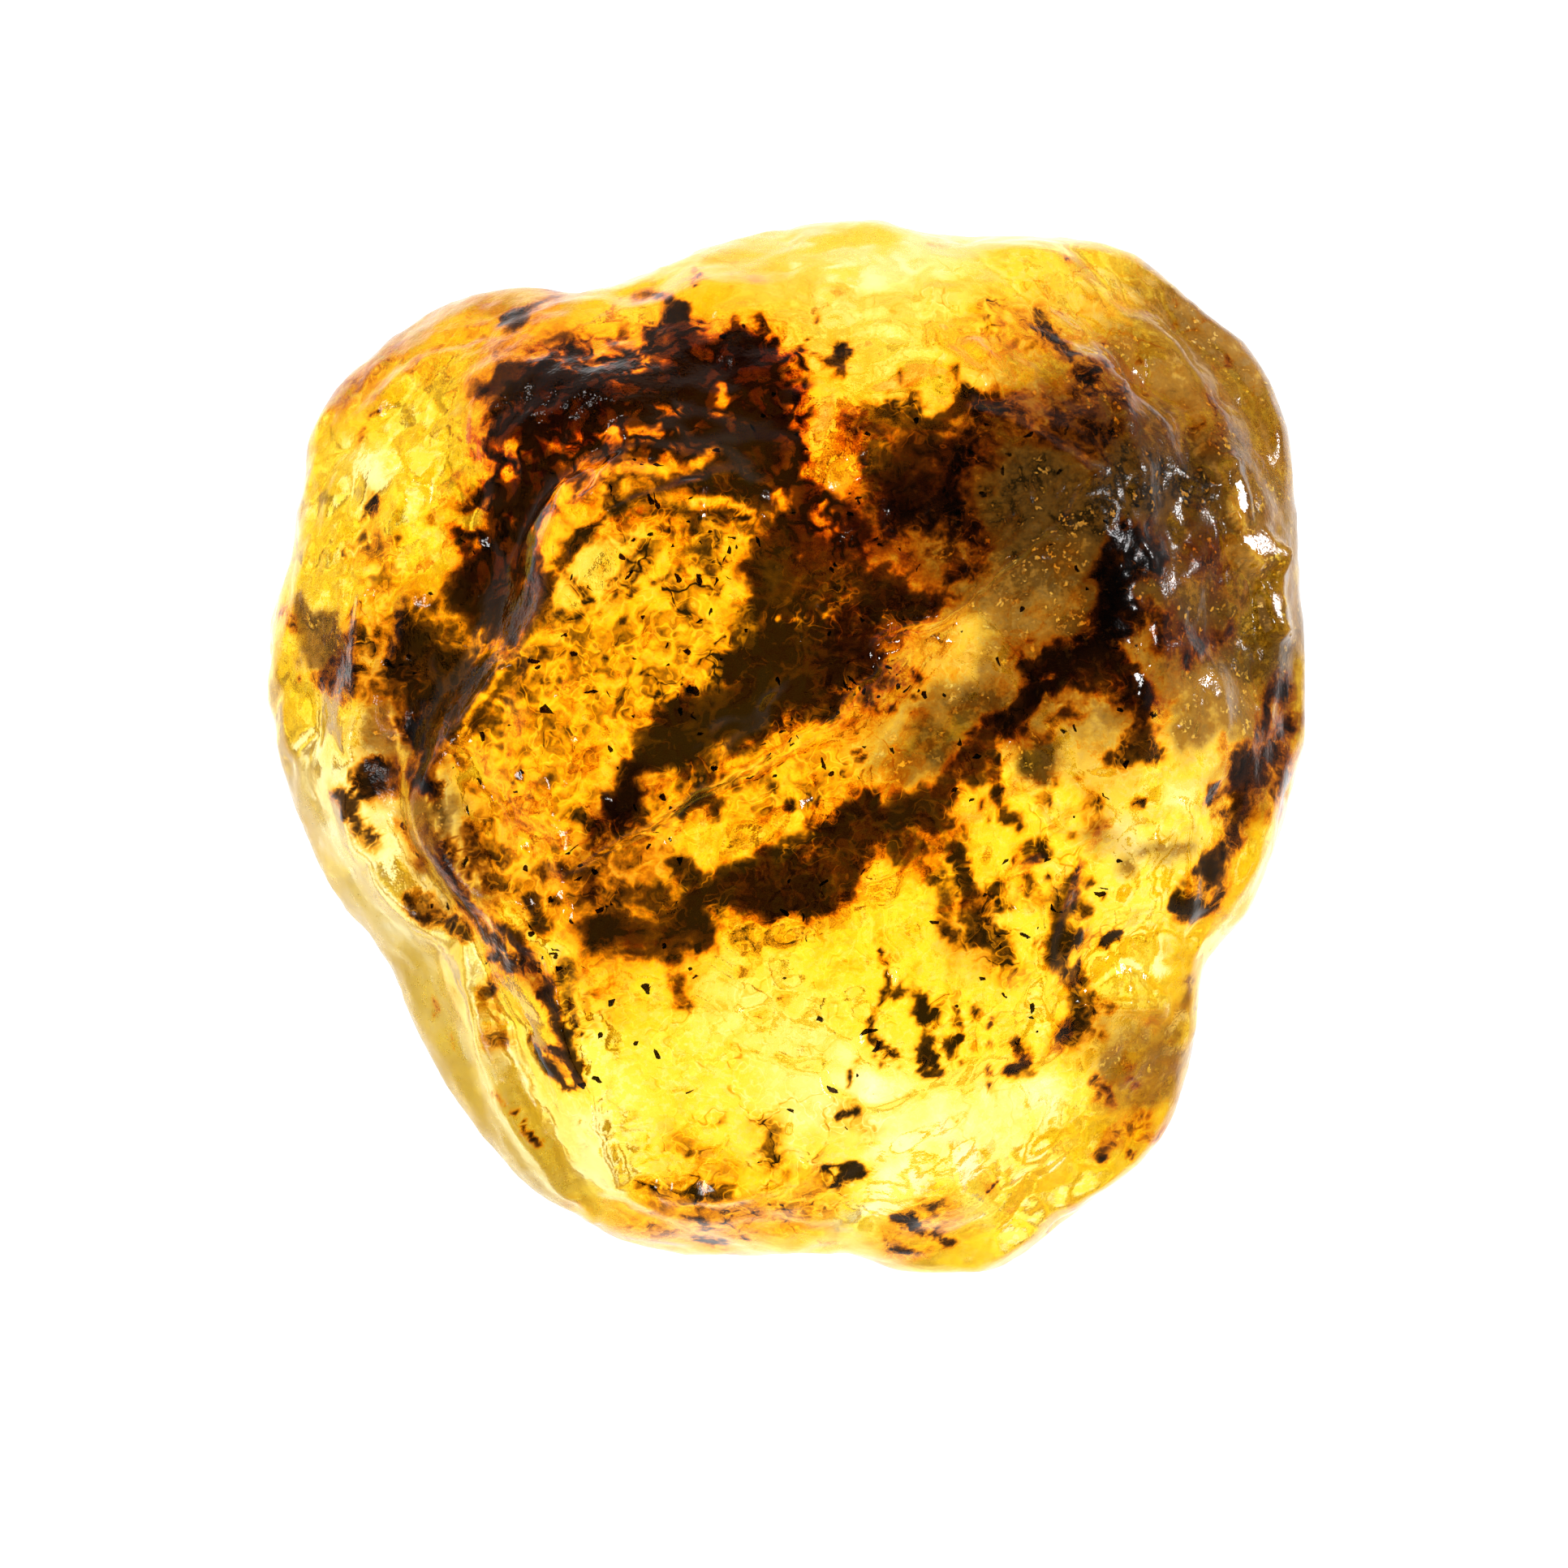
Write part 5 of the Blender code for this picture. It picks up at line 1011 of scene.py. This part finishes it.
@dataclass(frozen=True)
class AmberFinish:
    """Clear golden amber, stained, crusted and crazed by the lump's layers."""

    ior: float = 1.54
    absorbed: Colour = (0.99, 0.935, 0.25)
    gold: Colour = (1.0, 0.895, 0.22)
    density: float = 45.0
    burnt_stops: tuple[tuple[float, Colour], ...] = (
        (0.00, (1.0, 1.0, 1.0)),
        (0.16, (1.0, 0.90, 0.60)),
        (0.32, (1.0, 0.73, 0.26)),
        (0.46, (0.96, 0.53, 0.10)),
        (0.58, (0.72, 0.34, 0.045)),
        (0.70, (0.43, 0.205, 0.030)),
        (0.82, (0.18, 0.080, 0.018)),
        (0.92, (0.075, 0.036, 0.013)),
        (1.00, (0.024, 0.014, 0.008)),
    )
    ember_stops: tuple[tuple[float, Colour], ...] = (
        (0.00, (1.0, 1.0, 1.0)),
        (0.16, (1.0, 0.88, 0.50)),
        (0.30, (1.0, 0.66, 0.15)),
        (0.44, (0.98, 0.42, 0.04)),
        (0.58, (0.72, 0.20, 0.016)),
        (0.72, (0.34, 0.085, 0.010)),
        (0.86, (0.12, 0.032, 0.009)),
        (1.00, (0.016, 0.007, 0.004)),
    )
    smoke_stops: tuple[tuple[float, Colour], ...] = (
        (0.00, (1.0, 1.0, 1.0)),
        (0.25, (0.82, 0.70, 0.58)),
        (0.50, (0.41, 0.275, 0.185)),
        (0.75, (0.14, 0.088, 0.058)),
        (1.00, (0.02, 0.014, 0.011)),
    )

    def material(self) -> bpy.types.Material:
        """Builds the material.

        Returns:
            The material.
        """
        material, shader, graph = blank("amber")
        layer = {
            kind: graph.add("ShaderNodeAttribute", attribute_name=kind.value).outputs["Fac"]
            for kind in Layer
        }
        pattern = graph.weathered(480.0)
        mottle, fine = pattern["Mottle"], pattern["Fine"]
        burnt = self.broken_up(graph, layer[Layer.BURNT], layer[Layer.EMBER], pattern)
        burnt = graph.math("ADD", burnt, self.hairlines(graph, layer[Layer.CRAZE], pattern))
        smoke = graph.math("MULTIPLY_ADD", graph.math("SUBTRACT", mottle, 0.5), 1.0, 1.0)
        smoke = graph.math("MULTIPLY_ADD", graph.math("SUBTRACT", fine, 0.5), 0.7, smoke)
        gaps = graph.ease(mottle, 0.45, 0.6, 0.0, -0.6)
        gaps = graph.math("MULTIPLY", graph.ease(fine, 0.54, 0.66), gaps)
        smoke = graph.math("MULTIPLY_ADD", smoke, gaps, smoke)
        smoke = graph.math("MULTIPLY", smoke, layer[Layer.SMOKE])
        warm = graph.ramp(burnt, [(at, seen_through(c)) for at, c in self.burnt_stops])
        red = graph.ramp(burnt, [(at, seen_through(c)) for at, c in self.ember_stops])
        warm = graph.mix("MIX", layer[Layer.EMBER], warm, red)
        gold = graph.math("MULTIPLY", layer[Layer.GOLD], graph.ease(fine, 0.48, 0.62, 1.0, 0.7))
        gold = graph.mix("MIX", gold, (1, 1, 1, 1), (*seen_through(self.gold), 1))
        warm = graph.mix("MULTIPLY", 1.0, warm, gold)
        dull = graph.ramp(smoke, [(at, seen_through(c)) for at, c in self.smoke_stops])
        rough = graph.ease(mottle, 0.35, 0.7, 0.03, 0.09)
        rough = graph.math("MULTIPLY_ADD", layer[Layer.CRUST], 0.02, rough)
        worn = graph.ease(fine, 0.3, 0.7, 0.30, 0.46)
        rough = graph.math("MULTIPLY_ADD", layer[Layer.FROST], worn, rough)
        height = graph.math("MULTIPLY", fine, graph.math("MULTIPLY_ADD", layer[Layer.CRUST], 0.6, 0.2))
        bump = graph.add("ShaderNodeBump", {"Height": height, "Strength": 0.35, "Distance": 0.2 * MM})
        graph.feed(shader, {
            "Base Color": graph.mix("MULTIPLY", 1.0, warm, dull), "Roughness": rough,
            "Normal": bump.outputs["Normal"], "IOR": self.ior, "Transmission Weight": 1.0,
        })
        absorb = graph.add("ShaderNodeVolumeAbsorption", {
            "Color": (*self.absorbed, 1.0), "Density": self.density,
        })
        graph.feed(graph.tree.nodes["Material Output"], {"Volume": absorb.outputs[0]})
        return material

    def broken_up(self, graph: Graph, burnt: Any, ember: Any, pattern: Any) -> Any:
        """Breaks up the edges and the middle of the burnt stain, then sharpens it.

        Args:
            graph: where to add nodes.
            burnt: the stain's layer.
            ember: the layer that says where the net of lines is dark; it is bright elsewhere.
            pattern: the outputs of the weathering group.

        Returns:
            The broken-up stain.
        """
        room = graph.ease(burnt, 0.12, 0.72, 0.1, 1.0)
        swing = graph.math("MULTIPLY", graph.math("SUBTRACT", pattern["Mottle"], 0.5), 1.2)
        swing = graph.math("MULTIPLY_ADD", graph.math("SUBTRACT", pattern["Fine"], 0.5), 0.5, swing)
        net = graph.math("MULTIPLY_ADD", ember, 0.84, -0.24)
        swing = graph.math("MULTIPLY_ADD", graph.math("SUBTRACT", pattern["Web"], 0.4), net, swing)
        solid = graph.ease(burnt, 0.8, 1.0, 1.0, 0.3)
        swing = graph.math("MULTIPLY", swing, graph.math("MULTIPLY", room, solid))
        soft = graph.math("ADD", burnt, swing)
        crisp = graph.ease(soft, 0.17, 0.86)
        soft = graph.math("MULTIPLY_ADD", graph.math("SUBTRACT", crisp, soft), 0.35, soft)
        here = graph.ease(pattern["Mottle"], 0.4, 0.55)
        here = graph.math("MULTIPLY", here, graph.ease(burnt, 0.04, 0.2))
        veins = graph.math("MULTIPLY", graph.math("MULTIPLY", pattern["Veins"], here), solid)
        return graph.math("MULTIPLY_ADD", graph.math("MULTIPLY_ADD", ember, 0.4, -0.2), veins, soft)

    def hairlines(self, graph: Graph, craze: Any, pattern: Any) -> Any:
        """Fine dark cracks with a warm stain along them.

        Args:
            graph: where to add nodes.
            craze: the layer that says where they are.
            pattern: the outputs of the weathering group.

        Returns:
            What they add to the burnt stain.
        """
        lines = graph.math("MULTIPLY", pattern["Cracks"], 0.5)
        lines = graph.math("MULTIPLY_ADD", pattern["Halo"], 0.14, lines)
        here = graph.ease(pattern["Mottle"], 0.42, 0.62)
        return graph.math("MULTIPLY", graph.math("MULTIPLY", lines, here), craze)


@dataclass(frozen=True)
class BarkFinish:
    """Dull dark bark, mottled with red-brown."""

    dark: Colour = (0.010, 0.006, 0.004)
    brown: Colour = (0.060, 0.020, 0.006)

    def material(self) -> bpy.types.Material:
        """Builds the material.

        Returns:
            The material.
        """
        material, shader, graph = blank("bark")
        pattern = graph.weathered(2100.0)
        fine = pattern["Fine"]
        bump = graph.add("ShaderNodeBump", {"Height": fine, "Strength": 0.5, "Distance": 0.1 * MM})
        graph.feed(shader, {
            "Base Color": graph.ramp(pattern["Mottle"], ((0.42, self.dark), (0.66, self.brown))),
            "Roughness": graph.ease(fine, 0.3, 0.7, 0.55, 0.8), "Normal": bump.outputs["Normal"],
        })
        return material


@dataclass
class BarkFlecks:
    """Small shards of bark caught in the amber just under its top."""

    count_per_mm2: float = 0.22
    length_mm: float = 0.55
    depth_mm: tuple[float, float] = (0.35, 2.0)
    seed: int = 11

    def bed(self, skin: Skin, weight: np.ndarray) -> bpy.types.Object:
        """Makes the surface that the flecks are scattered on.

        Args:
            skin: the lump's skin.
            weight: how thickly they lie at each point.

        Returns:
            The bed: a copy of part of the skin, sunk to an uneven depth.
        """
        points, normals = skin.points, skin.normals()
        low, high = self.depth_mm
        sink = low + (high - low) * smooth(grain(points, 3.1, 6.6), -0.4, 0.4)
        sunk = points - normals * sink[:, None] - (0.0, 0.0, 0.2)
        used = skin.faces[weight[skin.faces].min(axis=1) > 0.02]
        keep, faces = np.unique(used, return_inverse=True)
        mesh = bpy.data.meshes.new("fleck_bed")
        mesh.from_pydata((sunk[keep] * MM).tolist(), [], faces.reshape(-1, 4).tolist())
        mesh.attributes.new("weight", "FLOAT", "POINT").data.foreach_set(
            "value", weight[keep].astype(np.float32)
        )
        return put("bark_flecks", mesh)

    def scatter(self, material: bpy.types.Material) -> bpy.types.NodeTree:
        """The tree that scatters shards over the bed.

        Args:
            material: what they are made of.

        Returns:
            The geometry node tree.
        """
        tree = bpy.data.node_groups.new("scatter_flecks", "GeometryNodeTree")
        tree.interface.new_socket("Geometry", in_out="INPUT", socket_type="NodeSocketGeometry")
        for name, kind in (("Density", "NodeSocketFloat"), ("Length", "NodeSocketFloat"),
                           ("Seed", "NodeSocketInt")):
            tree.interface.new_socket(name, in_out="INPUT", socket_type=kind)
        tree.interface.new_socket("Geometry", in_out="OUTPUT", socket_type="NodeSocketGeometry")
        graph = Graph(tree)
        given = graph.add("NodeGroupInput").outputs
        weight = graph.add("GeometryNodeInputNamedAttribute", {"Name": "weight"}, data_type="FLOAT")
        density = graph.math("MULTIPLY", weight.outputs["Attribute"], given["Density"])
        spots = graph.add("GeometryNodeDistributePointsOnFaces", {
            "Mesh": given["Geometry"], "Density": density, "Seed": given["Seed"],
        })
        shard = graph.add("GeometryNodeMeshIcoSphere", {"Radius": 0.5, "Subdivisions": 1})
        size = graph.add("FunctionNodeRandomValue", {
            "Min": (0.25, 0.16, 0.06), "Max": (1.1, 0.5, 0.2), "Seed": given["Seed"],
        }, data_type="FLOAT_VECTOR")
        size = graph.scaled(size.outputs["Value"], given["Length"])
        spin = graph.add("FunctionNodeRandomValue", {
            "Min": (-0.5, -0.5, -pi), "Max": (0.5, 0.5, pi), "Seed": given["Seed"],
        }, data_type="FLOAT_VECTOR").outputs["Value"]
        laid = graph.add("GeometryNodeInstanceOnPoints", {
            "Points": spots.outputs["Points"], "Instance": shard.outputs["Mesh"],
            "Rotation": spin, "Scale": size,
        })
        real = graph.add("GeometryNodeRealizeInstances", {"Geometry": laid.outputs["Instances"]})
        jolt = graph.add("ShaderNodeTexNoise", {"Scale": 4200.0, "Detail": 1.0}).outputs["Color"]
        jolt = graph.add("ShaderNodeVectorMath", {0: jolt, 1: (0.5, 0.5, 0.5)},
                         operation="SUBTRACT").outputs["Vector"]
        jagged = graph.add("GeometryNodeSetPosition", {
            "Geometry": real.outputs["Geometry"], "Offset": graph.scaled(jolt, 0.5 * MM),
        })
        dressed = graph.add("GeometryNodeSetMaterial", {
            "Geometry": jagged.outputs["Geometry"], "Material": material,
        })
        graph.add("NodeGroupOutput", {"Geometry": dressed.outputs["Geometry"]})
        return tree

    def build(self, skin: Skin, weight: np.ndarray, finish: BarkFinish) -> bpy.types.Object:
        """Makes the flecks.

        Args:
            skin: the lump's skin.
            weight: how thickly they lie at each point.
            finish: what they are made of.

        Returns:
            The finished piece.
        """
        material = finish.material()
        flecks = self.bed(skin, weight)
        tree = self.scatter(material)
        scatter = flecks.modifiers.new("scatter", "NODES")
        scatter.node_group = tree
        wanted = {
            "Density": self.count_per_mm2 / MM**2, "Length": self.length_mm * MM, "Seed": self.seed,
        }
        for item in tree.interface.items_tree:
            if item.in_out == "INPUT" and item.name in wanted:
                scatter[item.identifier] = wanted[item.name]
        graph = bpy.context.evaluated_depsgraph_get()
        mesh = bpy.data.meshes.new_from_object(flecks.evaluated_get(graph))
        flecks.modifiers.remove(scatter)
        flecks.data = mesh
        mesh.name = "bark_flecks"
        mesh.shade_flat()
        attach(flecks, "root")
        return flecks


@dataclass
class LightTable:
    """The pale lit surface under the lump, the soft lights over it and the camera."""

    glow: float = 1.42
    lens_mm: float = 150.0
    zenith: float = 0.015
    horizon: float = 0.18
    behind: float = 1.5
    bounces: int = 12

    def build(self) -> None:
        """Makes the floor, the lights, the sky and the camera."""
        scene = bpy.context.scene
        scene.view_settings.view_transform = "Standard"
        scene.cycles.max_bounces = scene.cycles.transmission_bounces = self.bounces + 8
        scene.cycles.glossy_bounces = self.bounces
        self.floor()
        self.sky()
        self.lights()
        self.camera()

    def floor(self) -> None:
        """Makes the lit surface."""
        reach = 6.0
        mesh = bpy.data.meshes.new("floor")
        corners = [(-reach, -reach, 0), (reach, -reach, 0), (reach, reach, 0), (-reach, reach, 0)]
        mesh.from_pydata(corners, [], [(0, 1, 2, 3)])
        floor = put("floor", mesh)
        floor.location.z = -0.00003
        floor.visible_glossy = False
        material, shader, graph = blank("lit_floor")
        graph.feed(shader, {
            "Base Color": (0, 0, 0, 1), "Specular IOR Level": 0.0, "Roughness": 0.9,
            "Emission Color": (1, 1, 1, 1), "Emission Strength": self.glow,
        })
        material.cycles.emission_sampling = "NONE"
        mesh.materials.append(material)

    def sky(self) -> None:
        """Makes the soft room light: bright all round, dim straight above."""
        world = bpy.data.worlds.new("studio")
        bpy.context.scene.world = world
        world.use_nodes = True
        world.cycles.sampling_method = "NONE"
        graph = Graph(world.node_tree)
        place = graph.add("ShaderNodeTexCoord").outputs["Generated"]
        up = graph.add("ShaderNodeSeparateXYZ", {0: place}).outputs["Z"]
        lit = graph.ease(up, -0.1, 0.5, self.horizon, self.zenith)
        lit = graph.math("MAXIMUM", lit, graph.ease(up, -0.75, -0.25, self.glow, 0.0))
        path = graph.add("ShaderNodeLightPath").outputs
        through = graph.math("MINIMUM", path["Transmission Depth"], self.behind)
        lit = graph.math("MAXIMUM", lit, through)
        inputs = {"Factor": path["Is Camera Ray"], "A": lit, "B": 1.0}
        strength = graph.add("ShaderNodeMix", inputs).outputs["Result"]
        back = world.node_tree.nodes["Background"]
        back.inputs["Color"].default_value = (1, 1, 1, 1)
        world.node_tree.links.new(strength, back.inputs["Strength"])

    def lights(self) -> None:
        """Hangs the soft boxes."""
        for name, bearing, lift, size, power in (
            ("south_west_box", -140.0, 30.0, 0.04, 0.07),
            ("east_box", 8.0, 36.0, 0.03, 0.07),
            ("east_rim_box", 20.0, 2.0, 0.03, 0.10),
            ("north_west_box", 130.0, 24.0, 0.03, 0.03),
        ):
            light = bpy.data.lights.new(name, "AREA")
            light.size, light.energy = size, power
            box = put(name, light)
            box.visible_transmission = box.visible_camera = False
            a, e = radians(bearing), radians(lift)
            out = Vector((cos(a) * cos(e), sin(a) * cos(e), sin(e)))
            box.location = out * 0.35 + Vector((0, 0, 0.015))
            box.rotation_euler = out.to_track_quat("Z", "Y").to_euler()

    def camera(self) -> None:
        """Puts the camera straight above, a little off the middle."""
        camera = bpy.data.cameras.new("camera")
        camera.lens, camera.sensor_width = self.lens_mm, 36.0
        camera.clip_start, camera.clip_end = 0.01, 20.0
        eye = put("camera", camera)
        eye.location = Vector(EYE_MM) * MM
        bpy.context.scene.camera = eye


def main() -> None:
    """Builds the scene."""
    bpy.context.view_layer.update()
    maker = AmberLump()
    lump = maker.build(AmberFinish())
    log.info("amber_lump: %d faces", len(lump.data.polygons))
    flecks = BarkFlecks().build(maker.skin, maker.fleck_weight(), BarkFinish())
    log.info("bark_flecks: %d faces", len(flecks.data.polygons))
    LightTable().build()


if __name__ == "__main__":
    logging.basicConfig(level=logging.INFO, format="%(message)s")
    main()
